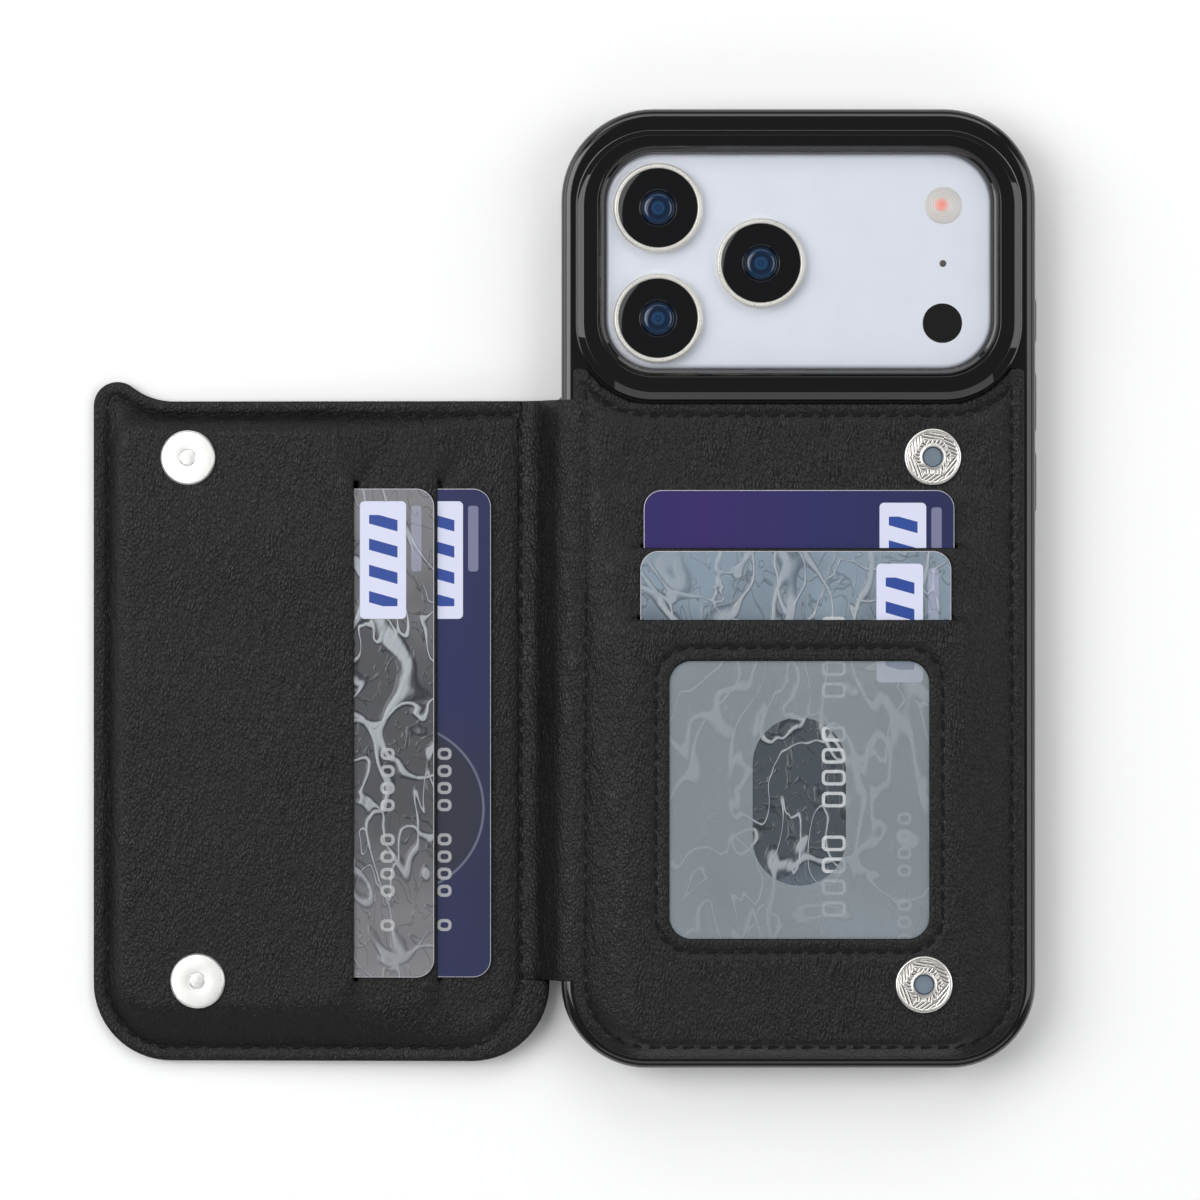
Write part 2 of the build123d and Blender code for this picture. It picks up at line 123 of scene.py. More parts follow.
def evenLoop(loop, spacing):
    # the same closed line with points at an even spacing
    closed = np.vstack([loop, loop[:1]])
    run = np.hypot(*np.diff(closed, axis=0).T)
    keep = np.concatenate([[True], run > 1e-6])
    closed, run = closed[keep], run[run > 1e-6]
    along = np.concatenate([[0], np.cumsum(run)])
    count = max(8, int(round(along[-1] / spacing)))
    at = np.linspace(0, along[-1], count, endpoint=False)
    return np.stack([np.interp(at, along, closed[:, k]) for k in (0, 1)], 1)


def inside(points, loop):
    # crossing count of each point against a closed line
    a, b = loop, np.roll(loop, -1, 0)
    found = np.zeros(len(points), bool)
    for (ax, ay), (bx, by) in zip(a, b):
        if ay == by:
            continue
        crosses = (points[:, 1] < max(ay, by)) & (points[:, 1] >= min(ay, by))
        found ^= crosses & (points[:, 0] < ax + (points[:, 1] - ay) * (bx - ax) / (by - ay))
    return found


def distanceTo(points, loop):
    a, b = loop, np.roll(loop, -1, 0)
    best = np.full(len(points), 1e9)
    for p, q in zip(a, b):
        d = q - p
        size = d @ d
        if size < 1e-12:
            continue
        t = np.clip((points - p) @ d / size, 0, 1)
        best = np.minimum(best, np.hypot(*(points - p - t[:, None] * d).T))
    return best


def boxDistance(x, y, x0, x1, y0, y1, r):
    # distance outside a rounded rectangle, below 0 inside it
    dx = np.abs(x - (x0 + x1) / 2) - (x1 - x0) / 2 + r
    dy = np.abs(y - (y0 + y1) / 2) - (y1 - y0) / 2 + r
    return np.hypot(np.maximum(dx, 0), np.maximum(dy, 0)) + np.minimum(np.maximum(dx, dy), 0) - r


def softLine(points, radii, steps=5):
    # a line of points with each inner corner rounded by its own radius
    out = [np.array(points[0], float)]
    for i in range(1, len(points) - 1):
        p, a, b = (np.array(points[k], float) for k in (i, i - 1, i + 1))
        r = radii[i - 1] if hasattr(radii, "__len__") else radii
        u, v = (a - p) / np.linalg.norm(a - p), (b - p) / np.linalg.norm(b - p)
        half = math.acos(max(-1, min(1, float(u @ v)))) / 2
        if r <= 0 or half > 1.55:
            out.append(p)
            continue
        ends = [0.96 if k in (0, len(points) - 1) else 0.49 for k in (i - 1, i + 1)]
        reach = min(r / math.tan(half), ends[0] * np.linalg.norm(a - p), ends[1] * np.linalg.norm(b - p))
        r = reach * math.tan(half)
        centre = p + (u + v) / np.linalg.norm(u + v) * r / math.sin(half)
        first, last = p + u * reach - centre, p + v * reach - centre
        for k in range(steps + 1):
            mix = first * (1 - k / steps) + last * k / steps
            out.append(centre + mix / np.linalg.norm(mix) * r)
    out.append(np.array(points[-1], float))
    return out


def skin(loops, wrap=False, capStart=False, capEnd=False):
    # quads between loops of the same number of points
    count, size = len(loops), len(loops[0])
    faces = []
    for i in range(count if wrap else count - 1):
        j = (i + 1) % count
        for k in range(size):
            n = (k + 1) % size
            faces.append((i * size + k, i * size + n, j * size + n, j * size + k))
    if capStart:
        faces.append(tuple(range(size))[::-1])
    if capEnd:
        faces.append(tuple((count - 1) * size + k for k in range(size)))
    return np.concatenate(loops), faces


def flat(loop, z):
    return np.column_stack([loop, np.full(len(loop), z)])


def lathe(profile, spot, steps=72):
    # a round piece from (radius, height) pairs, from its top middle outwards and down
    loops = [
        flat(arc(spot[0], spot[1], max(r, 0.005), 0, 360 * (1 - 1 / steps), steps - 1), z)
        for r, z in profile
    ]
    points, faces = skin(loops, capStart=profile[0][0] < 0.01, capEnd=profile[-1][0] < 0.01)
    return points, [f[::-1] for f in faces]


def addPiece(name, points, faces, material, body, replaced=(), place=casePlace, sharp=32):
    mesh = bpy.data.meshes.new(name)
    mesh.from_pydata([tuple(p) for p in place(points)], [], [tuple(int(i) for i in f) for f in faces])
    mesh.validate()
    mesh.shade_smooth()
    mesh.set_sharp_from_angle(angle=math.radians(sharp))
    mesh.materials.append(material)
    piece = bpy.data.objects.new(name, mesh)
    bpy.context.scene.collection.objects.link(piece)
    if body:
        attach(piece, body)
    if replaced:
        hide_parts(*([replaced] if isinstance(replaced, str) else replaced))
    return piece


def joined(parts):
    # several (points, faces) as one
    points, faces, base = [], [], 0
    for p, f in parts:
        points.append(p)
        faces += [tuple(i + base for i in face) for face in f]
        base += len(p)
    return np.concatenate(points), faces


def addCutters(piece, cutters):
    # cuts closed shapes out of a piece, one after another
    for points, faces in cutters:
        mesh = bpy.data.meshes.new("cutter")
        mesh.from_pydata([tuple(p) for p in casePlace(points)], [], faces)
        cutter = bpy.data.objects.new("cutter", mesh)
        bpy.context.scene.collection.objects.link(cutter)
        cut = piece.modifiers.new("cut", "BOOLEAN")
        cut.operation, cut.solver, cut.object = "DIFFERENCE", "EXACT", cutter
        bpy.context.view_layer.update()
        done = bpy.data.meshes.new_from_object(piece.evaluated_get(bpy.context.evaluated_depsgraph_get()))
        piece.modifiers.clear()
        piece.data = done
        bpy.data.objects.remove(cutter)
    piece.data.shade_smooth()
    piece.data.set_sharp_from_angle(angle=math.radians(30))


# finishes: a few node helpers, then one function for each finish
def addNode(material, kind, feeds=None, **settings):
    node = material.node_tree.nodes.new("ShaderNode" + kind)
    for key, value in settings.items():
        setattr(node, key, value)
    for key, value in (feeds or {}).items():
        if isinstance(value, bpy.types.NodeSocket):
            material.node_tree.links.new(value, node.inputs[key])
        else:
            node.inputs[key].default_value = value
    return node


def calc(material, operation, a, b=0.0, c=0.0):
    return addNode(material, "Math", {0: a, 1: b, 2: c}, operation=operation).outputs[0]


def ramp(material, value, stops):
    node = addNode(material, "ValToRGB", {0: value})
    while len(node.color_ramp.elements) < len(stops):
        node.color_ramp.elements.new(0.5)
    for element, (at, colour) in zip(node.color_ramp.elements, stops):
        element.position = at
        element.color = (*colour, 1) if hasattr(colour, "__len__") else (colour, colour, colour, 1)
    return node.outputs[0]


def mixColour(material, factor, a, b, how="MIX"):
    node = addNode(material, "Mix", data_type="RGBA", blend_type=how)
    for key, value in ((0, factor), (6, a), (7, b)):
        if isinstance(value, bpy.types.NodeSocket):
            material.node_tree.links.new(value, node.inputs[key])
        else:
            node.inputs[key].default_value = (*value, 1) if hasattr(value, "__len__") else value
    return node.outputs[2]


def startFinish(name, colour, roughness, **values):
    material = bpy.data.materials.new(name)
    material.use_nodes = True
    shader = material.node_tree.nodes["Principled BSDF"]
    shader.inputs["Base Color"].default_value = (*colour, 1)
    shader.inputs["Roughness"].default_value = roughness
    for key, value in values.items():
        shader.inputs[key.replace("_", " ")].default_value = value
    place = addNode(material, "TexCoord").outputs["Object"]
    return material, shader, place


def link(material, out, into):
    material.node_tree.links.new(out, into)


def noise(material, place, scale, detail=3.0, rough=0.5, stretch=None):
    if stretch:
        place = addNode(material, "Mapping", {"Vector": place, "Scale": stretch}).outputs[0]
    feeds = {"Vector": place, "Scale": scale, "Detail": detail, "Roughness": rough}
    return addNode(material, "TexNoise", feeds).outputs["Fac"]


def bump(material, shader, height, distance, strength=1.0, below=None):
    feeds = {"Height": height, "Distance": distance, "Strength": strength}
    if below is not None:
        feeds["Normal"] = below
    out = addNode(material, "Bump", feeds).outputs[0]
    link(material, out, shader.inputs["Normal"])
    return out


leather = {
    "colour": (0.0042, 0.0042, 0.0047),
    "worn": (0.0105, 0.0103, 0.0106),
    "roughness": 0.42,
    "pebble": 1650,      # pebbles in a metre
    "pebbleDepth": 0.00008,
    "sway": 0.0009,
    "creaseDepth": 0.00017,
}


def leatherFinish(name, tone=1.0, seed=0.0):
    material, shader, place = startFinish(name, leather["colour"], leather["roughness"])
    shader.inputs["Specular IOR Level"].default_value = 0.24
    moved = addNode(material, "Mapping", {"Vector": place, "Location": (seed, seed * 0.7, 0)}).outputs[0]
    sway = addNode(material, "TexNoise", {"Vector": moved, "Scale": 160.0, "Detail": 2.0}).outputs["Color"]
    bent = addNode(material, "VectorMath", {0: sway, 1: (0.5, 0.5, 0.5)}, operation="SUBTRACT").outputs[0]
    bent = addNode(material, "VectorMath", {0: bent, "Scale": leather["sway"]}, operation="SCALE").outputs[0]
    bent = addNode(material, "VectorMath", {0: moved, 1: bent}, operation="ADD").outputs[0]
    long = addNode(
        material, "Mapping", {"Vector": bent, "Scale": (1.0, 0.62, 1.0), "Rotation": (0, 0, 0.5)}
    ).outputs[0]
    cells = addNode(
        material, "TexVoronoi", {"Vector": long, "Scale": leather["pebble"]}, feature="DISTANCE_TO_EDGE"
    ).outputs[0]
    pebbles = ramp(material, cells, [(0.0, 0.0), (0.22, 0.75), (0.5, 1.0)])
    fine = noise(material, moved, 3200.0, 4.0, 0.6)
    crease = ramp(
        material, noise(material, moved, 210.0, 6.0, 0.62, (1.0, 0.45, 1.0)),
        [(0.42, 1.0), (0.5, 0.0), (0.58, 1.0)]
    )
    broad = noise(material, moved, 38.0, 3.0)
    low = bump(material, shader, crease, leather["creaseDepth"], 0.6)
    grain = calc(material, "ADD", pebbles, calc(material, "MULTIPLY", fine, 0.15))
    bump(material, shader, grain, leather["pebbleDepth"], 0.9, low)
    shade = calc(material, "MULTIPLY_ADD", broad, 0.5, calc(material, "MULTIPLY", pebbles, 0.3))
    dark = tuple(c * tone for c in leather["colour"])
    pale = tuple(c * tone for c in leather["worn"])
    link(material, mixColour(material, shade, dark, pale), shader.inputs["Base Color"])
    gloss = ramp(
        material, calc(material, "MULTIPLY_ADD", fine, 0.4, calc(material, "MULTIPLY", broad, 0.6)),
        [(0.25, 0.27), (0.75, 0.42)]
    )
    link(material, gloss, shader.inputs["Roughness"])
    return material


def glossFinish(name, colour, roughness=0.05, dust=0.5):
    # moulded gloss: clear, with a faint orange peel and fine rubbing
    material, shader, place = startFinish(name, colour, roughness)
    shader.inputs["Coat Weight"].default_value = 0.35
    shader.inputs["Coat Roughness"].default_value = 0.03
    bump(material, shader, noise(material, place, 260.0, 2.0), 0.00002, 0.25)
    rub = noise(material, place, 900.0, 5.0, 0.7, (1.0, 0.2, 1.0))
    link(
        material, ramp(material, rub, [(0.35, roughness), (0.75, roughness + 0.07 * dust)]),
        shader.inputs["Roughness"]
    )
    cloud = noise(material, place, 25.0, 2.0)
    pale = tuple(min(1, c * 1.5 + 0.001) for c in colour)
    link(material, mixColour(material, cloud, colour, pale), shader.inputs["Base Color"])
    return material


def metalFinish(name, colour, roughness, grain=1500.0, stretch=(1, 1, 1), metallic=1.0, cloud=0.86):
    material, shader, place = startFinish(name, colour, roughness, Metallic=metallic)
    brushed = noise(material, place, grain, 4.0, 0.6, stretch)
    bump(material, shader, brushed, 0.00001, 0.35)
    link(
        material, ramp(material, brushed, [(0.3, roughness * 0.85), (0.7, roughness * 1.25)]),
        shader.inputs["Roughness"]
    )
    dull = noise(material, place, 180.0, 3.0)
    dim = tuple(c * cloud for c in colour)
    link(
        material, mixColour(material, ramp(material, dull, [(0.4, 0.0), (0.75, 1.0)]), colour, dim),
        shader.inputs["Base Color"]
    )
    return material


def threadFinish():
    material, shader, place = startFinish("thread", (0.003, 0.003, 0.003), 0.7)
    shader.inputs["Specular IOR Level"].default_value = 0.22
    twist = addNode(
        material, "TexWave", {"Vector": place, "Scale": 900.0, "Distortion": 1.0},
        bands_direction="DIAGONAL"
    ).outputs["Fac"]
    bump(material, shader, twist, 0.00006, 0.6)
    link(
        material, mixColour(material, twist, (0.0012, 0.0012, 0.0012), (0.004, 0.004, 0.0045)),
        shader.inputs["Base Color"]
    )
    return material


shellGloss = glossFinish("shellGloss", (0.0025, 0.0025, 0.0028), 0.06)
guardGloss = glossFinish("guardGloss", (0.002, 0.002, 0.0022), 0.04, 0.3)
padGloss = glossFinish("padGloss", (0.003, 0.003, 0.003), 0.08)
backLeather = leatherFinish("backLeather")
flapLeather = leatherFinish("flapLeather", 1.05, 0.31)
thread = threadFinish()
print("finishes: leather, gloss, metal and thread are mixed")


# shell
shell = {
    "cornerLow": 14.85,
    "cornerHigh": 16.05,
    "backRound": 1.8,
    "rimRound": 0.9,
    "wallSide": 2.35,
    "wallEnd": 1.95,
    "roof": 9.75,
    "notch": 0.16,       # the fine line moulded along the back edge
    "portW": 52.0,
    "portH": 6.2,
    "padGap": 0.12,
}
shellHalfW = (shellHigh.x - shellLow.x) / 2 / mm
shellHalfH = (shellHigh.y - shellLow.y) / 2 / mm
backZ = shellHigh.z / mm


def shellLoop(inset, insetY=None):
    insetY = inset if insetY is None else insetY
    less = (inset + insetY) / 2
    return roundedLoop(
        -shellHalfW + inset, shellHalfW - inset, -shellHalfH + insetY, shellHalfH - insetY,
        shell["cornerLow"] - less, shell["cornerHigh"] - less,
    )


def block(loop, low, high):
    return skin([flat(loop, low), flat(loop, high)], capStart=True, capEnd=True)


plateauLow, plateauHigh = caseBox("phone_camera_plateau")
guardLow, guardHigh = caseBox("camera_guard")
windowGap = 0.3
plateauCorner = 8.6
pads = ["pad_action", "pad_volume_up", "pad_volume_down", "pad_power", "pad_capture"]


def windowLoop(grow):
    return roundedLoop(
        plateauLow[0] - grow, plateauHigh[0] + grow, plateauLow[1] - grow, plateauHigh[1] + grow,
        plateauCorner + grow,
    )


def sideSlot(x0, x1, y0, y1, z0, z1):
    # a rounded slot through a side wall
    loop = roundedLoop(y0, y1, z0, z1, min(y1 - y0, z1 - z0) / 2 - 0.01, steps=8)
    ends = [np.column_stack([np.full(len(loop), x), loop]) for x in (x0, x1)]
    return skin(ends, capStart=True, capEnd=True)


def makeShell():
    rim = [
        (shell["rimRound"] * (1 - math.sin(a)), shell["rimRound"] * (1 - math.cos(a)))
        for a in np.linspace(0, math.pi / 2, 9)
    ]
    r = shell["backRound"]
    back = []
    for a in np.linspace(0, 90, 37):
        deep = shell["notch"] * max(0, 1 - abs(a - 52) / 6)
        reach = r - deep
        back.append((r - reach * math.cos(math.radians(a)), backZ - r + reach * math.sin(math.radians(a))))
    loops = [flat(shellLoop(inset), z) for inset, z in rim + back]
    points, faces = skin(loops, capStart=True, capEnd=True)
    piece = addPiece("shell", points, faces, shellGloss, None)
    cavity = shellLoop(shell["wallSide"], shell["wallEnd"])
    cutters = [block(cavity, -2, shell["roof"]), block(windowLoop(windowGap), shell["roof"] - 1, backZ + 2)]
    for pad in pads:
        low, high = caseBox(pad)
        gap = shell["padGap"]
        x0, x1 = (low[0] - 3, high[0] + 1) if low[0] > 0 else (low[0] - 1, high[0] + 3)
        cutters.append(sideSlot(x0, x1, low[1] - gap, high[1] + gap, low[2] - gap, high[2] + gap))
    midZ = middle(caseBox("phone_frame"))[2]
    slot = roundedLoop(
        -shell["portW"] / 2, shell["portW"] / 2, midZ - shell["portH"] / 2, midZ + shell["portH"] / 2,
        shell["portH"] / 2 - 0.01
    )
    ends = [
        np.column_stack([slot[:, 0], np.full(len(slot), y), slot[:, 1]])
        for y in (-shellHalfH + 4, -shellHalfH - 2)
    ]
    cutters.append(skin(ends, capStart=True, capEnd=True))
    addCutters(piece, cutters)
    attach(piece, "case")
    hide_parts("tpu_shell")


makeShell()

guard = {
    "corner": 13.4,
    "bevel": 1.5,
    "bevelDrop": 0.75,
    "lip": 0.7,
    "stepDown": 1.5,
    "stepIn": 0.5,
}


def makeGuard():
    low, high = guardLow, guardHigh
    outer = roundedLoop(low[0], high[0], low[1], high[1], guard["corner"])
    inner = windowLoop(windowGap)
    width = plateauLow[1] - windowGap - low[1]
    base, top = low[2], high[2]
    outline = [
        (0, base), (0, top - guard["bevelDrop"] - 0.4), (0.25, top - guard["bevelDrop"]),
        (guard["bevel"], top),
        (width - guard["lip"] - guard["stepIn"], top), (width - guard["stepIn"], top - guard["lip"]),
        (width - guard["stepIn"], top - guard["stepDown"]), (width, top - guard["stepDown"] - 0.15),
        (width, base),
    ]
    line = softLine(outline, [0.3, 0.3, 0.16, 0.2, 0.2, 0.12, 0.1], 4)
    loops = [flat(outer + (inner - outer) * (w / width), z) for w, z in line]
    points, faces = skin(loops, wrap=True)
    addPiece("cameraGuard", points, faces, guardGloss, "case", "camera_guard", sharp=38)


makeGuard()
for pad in pads:
    nodes[pad].data.materials[0] = padGloss
print("shell: wall, camera guard and button pads are made")


# phone
phone = {"plateauRound": 0.9, "ringWall": 0.9, "wellR": 3.1, "eyeR": 2.4}
phoneMetal = metalFinish("phoneMetal", (0.62, 0.63, 0.66), 0.34, 2400.0)
plateauMetal = metalFinish("plateauMetal", (0.66, 0.69, 0.76), 0.34, 3000.0, metallic=0.1, cloud=0.97)
lensMetal = metalFinish("lensMetal", (0.86, 0.84, 0.79), 0.3, 2600.0, metallic=0.55)
screenGlass = glossFinish("screenGlass", (0.004, 0.004, 0.005), 0.03, 0.2)
phoneGlass = glossFinish("phoneGlass", (0.6, 0.62, 0.68), 0.25, 0.4)
sensorGlass = glossFinish("sensorGlass", (0.006, 0.006, 0.006), 0.06, 0.2)
micMesh = metalFinish("micMesh", (0.12, 0.11, 0.11), 0.5, 6000.0)


def radiusFrom(material, place, spot):
    # distance from a round piece's own middle, in mm
    off = addNode(
        material, "VectorMath", {0: place, 1: (*(casePlace([[*spot, 0]])[0][:2]), 0)},
        operation="SUBTRACT"
    ).outputs[0]
    plane = addNode(material, "VectorMath", {0: off, 1: (1, 1, 0)}, operation="MULTIPLY").outputs[0]
    length = addNode(material, "VectorMath", {0: plane}, operation="LENGTH").outputs["Value"]
    return calc(material, "MULTIPLY", length, 1 / mm)


def lensFinish(name, spot):
    material, shader, place = startFinish(name, (0.002, 0.002, 0.003), 0.04)
    shader.inputs["Coat Weight"].default_value = 0.5
    r = radiusFrom(material, place, spot)
    share = calc(material, "DIVIDE", r, 7.0)
    # rings of the inner lens elements, coloured with painted blue reflections of their coating
    rings = [
        (0.0, (0.012, 0.05, 0.13)), (0.06, (0.004, 0.02, 0.06)), (0.12, (0.012, 0.05, 0.12)),
        (0.2, (0.002, 0.008, 0.025)),
        (0.29, (0.004, 0.018, 0.05)), (0.35, (0.008, 0.035, 0.085)), (0.4, (0.002, 0.004, 0.01)),
        (0.48, (0.0015, 0.0015, 0.002)),
    ]
    link(material, ramp(material, share, rings), shader.inputs["Base Color"])
    link(
        material, ramp(material, noise(material, place, 700.0, 4.0), [(0.3, 0.03), (0.8, 0.07)]),
        shader.inputs["Roughness"]
    )
    return material


def makeLens(which):
    ringBox, glassBox = caseBox("lens_ring_" + which), caseBox("lens_glass_" + which)
    spot = middle(ringBox)[:2]
    r = (ringBox[1][0] - ringBox[0][0]) / 2
    low, high = ringBox[0][2], ringBox[1][2]
    inner = r - phone["ringWall"]
    ring = softLine(
        [(inner, low), (inner, high - 0.16), (inner + 0.16, high),
         (r - 0.32, high), (r, high - 0.32), (r, low)],
        0.09, 3
    )
    points, faces = lathe(ring, spot, 96)
    addPiece("lensRing_" + which, points, faces, lensMetal, "phone", "lens_ring_" + which)
    top = glassBox[1][2]
    well, eye = phone["wellR"], phone["eyeR"]
    dome = [(eye * math.sin(a), top - 0.6 + 0.2 * math.cos(a)) for a in np.linspace(0, math.pi / 2, 10)]
    line = dome + softLine(
        [(eye + 0.1, top - 0.75), (eye + 0.35, top - 0.75), (well, top - 0.12),
         (well + 0.15, top), (inner - 0.02, top), (inner - 0.02, low)],
        0.06, 3
    )
    points, faces = lathe(line, spot, 96)
    addPiece(
        "lensGlass_" + which, points, faces, lensFinish("lens_" + which, spot), "phone",
        "lens_glass_" + which
    )


def flashFinish(spot):
    material, shader, place = startFinish("flashLens", (0.62, 0.58, 0.55), 0.28)
    r = radiusFrom(material, place, spot)
    ringed = calc(material, "SINE", calc(material, "MULTIPLY", r, 14.0))
    bump(material, shader, ringed, 0.00005, 0.5)
    off = radiusFrom(material, place, (spot[0] - 0.35, spot[1] + 0.1))
    glow = ramp(
        material, calc(material, "DIVIDE", off, 3.4),
        [
            (0.0, (0.8, 0.24, 0.2)), (0.22, (0.78, 0.34, 0.3)), (0.42, (0.58, 0.54, 0.52)),
            (1.0, (0.5, 0.49, 0.49))
        ]
    )
    link(material, glow, shader.inputs["Base Color"])
    return material


def makePhone():
    low, high = plateauLow, plateauHigh
    r = phone["plateauRound"]
    loops = []
    for a in np.linspace(0, 90, 12):
        inset = r * (1 - math.cos(math.radians(a)))
        z = high[2] - r + r * math.sin(math.radians(a))
        loop = roundedLoop(
            low[0] + inset, high[0] - inset, low[1] + inset, high[1] - inset, plateauCorner - inset
        )
        loops.append(flat(loop, z))
    loops.insert(0, flat(windowLoop(0), low[2]))
    points, faces = skin(loops, capStart=True, capEnd=True)
    addPiece(
        "cameraPlateau", points, faces, plateauMetal, "phone", "phone_camera_plateau",
    )
    for which in ("upper", "lower", "middle"):
        makeLens(which)
    for node, finish, name, slot in (
        ("phone_flash", None, "flash", "flash_lens"),
        ("phone_depth_sensor", sensorGlass, "depthSensor", "sensor_glass"),
        ("phone_microphone", micMesh, "microphone", "mic_mesh"),
    ):
        box = caseBox(node)
        spot = middle(box)[:2]
        size, z = (box[1][0] - box[0][0]) / 2, box[1][2]
        finish = finish or flashFinish(spot)
        line = [
            (0, z + 0.02), (size * 0.6, z + 0.015), (size - 0.12, z), (size, z - 0.08), (size, box[0][2])
        ]
        points, faces = lathe(line, spot, 64)
        addPiece(name, points, faces, finish, "phone", node)
    nodes["phone_frame"].data.materials[0] = phoneMetal
    nodes["phone_screen_glass"].data.materials[0] = screenGlass
    nodes["phone_back_glass"].data.materials[0] = phoneGlass


makePhone()
print("phone: plateau, lenses and sensors are made")


# leather work: a cut sheet follows a height rule, and gets its thickness, rounded edges and open slits
def offsetLoop(loop, distance):
    # each point moved to its left, the inside of a loop that runs anticlockwise
    ahead, behind = np.roll(loop, -1, 0), np.roll(loop, 1, 0)
    along = ahead - behind
    along /= np.maximum(np.hypot(*along.T), 1e-9)[:, None]
    return loop + np.column_stack([-along[:, 1], along[:, 0]]) * distance


def cutSheet(outline, holes, cell, rings, seams):
    # flat triangles inside the outline and outside the holes
    edgeLoops = [evenLoop(outline, cell * 0.55)] + [evenLoop(h, cell * 0.45) for h in holes]
    own = []
    for i, loop in enumerate(edgeLoops):
        for step in rings:
            line = offsetLoop(loop, step if i == 0 else -step)
            own.append((line, step * 0.93))
    for line in seams:
        for step in (-0.75, -0.4, 0.0, 0.4, 0.75):
            own.append((offsetLoop(evenLoop(line, 0.6), step), 0.3))
    edge = np.concatenate(edgeLoops)
    lo, hi = outline.min(0), outline.max(0)
    gx, gy = np.meshgrid(np.arange(lo[0], hi[0], cell), np.arange(lo[1], hi[1], cell * 0.87))
    gx = gx + (np.arange(gx.shape[0]) % 2)[:, None] * cell / 2
    grid = np.column_stack([gx.ravel(), gy.ravel()])
    clear = np.ones(len(grid), bool)
    for line in seams:
        clear &= distanceTo(grid, evenLoop(line, 2.0)) > 1.0
    own.append((grid[clear], rings[-1] + 0.3 * cell))
    kept = [edge]
    for points, apart in own:
        good = inside(points, edgeLoops[0])
        for hole in edgeLoops[1:]:
            good &= ~inside(points, hole)
        points = points[good]
        near = np.full(len(points), 1e9)
        for loop in edgeLoops:
            near = np.minimum(near, distanceTo(points, loop))
        kept.append(points[near >= apart])
    points = np.concatenate(kept)
    edges, base = [], 0
    for loop in edgeLoops:
        n = len(loop)
        edges += [(base + k, base + (k + 1) % n) for k in range(n)]
        base += n
    found = delaunay_2d_cdt([tuple(p) for p in points], edges, [], 0, 1e-5)
    flatPoints, faces = np.array([tuple(v) for v in found[0]]), np.array(found[2])
    mid = flatPoints[faces].mean(1)
    good = inside(mid, edgeLoops[0])
    for hole in edgeLoops[1:]:
        good &= ~inside(mid, hole)
    faces = faces[good]
    a, b, c = (flatPoints[faces[:, k]] for k in range(3))
    turned = (b[:, 0] - a[:, 0]) * (c[:, 1] - a[:, 1]) - (b[:, 1] - a[:, 1]) * (c[:, 0] - a[:, 0]) < 0
    faces[turned] = faces[turned][:, ::-1]
    used = np.unique(faces)
    lookup = np.zeros(len(flatPoints), int)
    lookup[used] = np.arange(len(used))
    return flatPoints[used], lookup[faces], edgeLoops


def leatherSheet(outline, holes, cell, heights, thickness, seams=(), rounding=0.32, rings=(0.1, 0.26, 0.5)):
    flatPoints, faces, edgeLoops = cutSheet(outline, holes, cell, rings, seams)
    near = np.full(len(flatPoints), 1e9)
    for loop in edgeLoops:
        near = np.minimum(near, distanceTo(flatPoints, loop))
    top = heights(flatPoints)
    dip = np.clip(1 - near / 0.55, 0, 1)
    upper = top - rounding * (1 - np.sqrt(np.maximum(0, 1 - dip ** 2)))
    lower = top - thickness
    count = len(flatPoints)
    points = np.concatenate([np.column_stack([flatPoints, upper]), np.column_stack([flatPoints, lower])])
    directed = {}
    for face in faces:
        for k in range(3):
            directed[(face[k], face[(k + 1) % 3])] = True
    out = [tuple(f) for f in faces] + [tuple(f[::-1] + count) for f in faces]
    for a, b in directed:
        if (b, a) not in directed:
            out.append((a, a + count, b + count, b))
    return points, out


def grooves(points, lines, width, depth):
    cut = np.zeros(len(points))
    for line in lines:
        cut = np.maximum(cut, depth * smooth(1 - distanceTo(points, evenLoop(line, 1.0)) / width))
    return cut


def swell(points, seed, size, amount):
    # slow uneven puffing of soft leather, from a few fixed waves
    x, y = points.T
    total = np.zeros(len(points))
    random = np.random.default_rng(seed)
    for _ in range(7):
        angle, phase = random.uniform(0, math.pi), random.uniform(0, 6.28)
        pitch = size * random.uniform(0.7, 1.5)
        total += np.sin((x * math.cos(angle) + y * math.sin(angle)) * 6.28 / pitch + phase)
    return total / 7 * amount


stitch = {"pitch": 2.95, "length": 2.05, "radius": 0.3, "lean": 7, "flatten": 0.75}


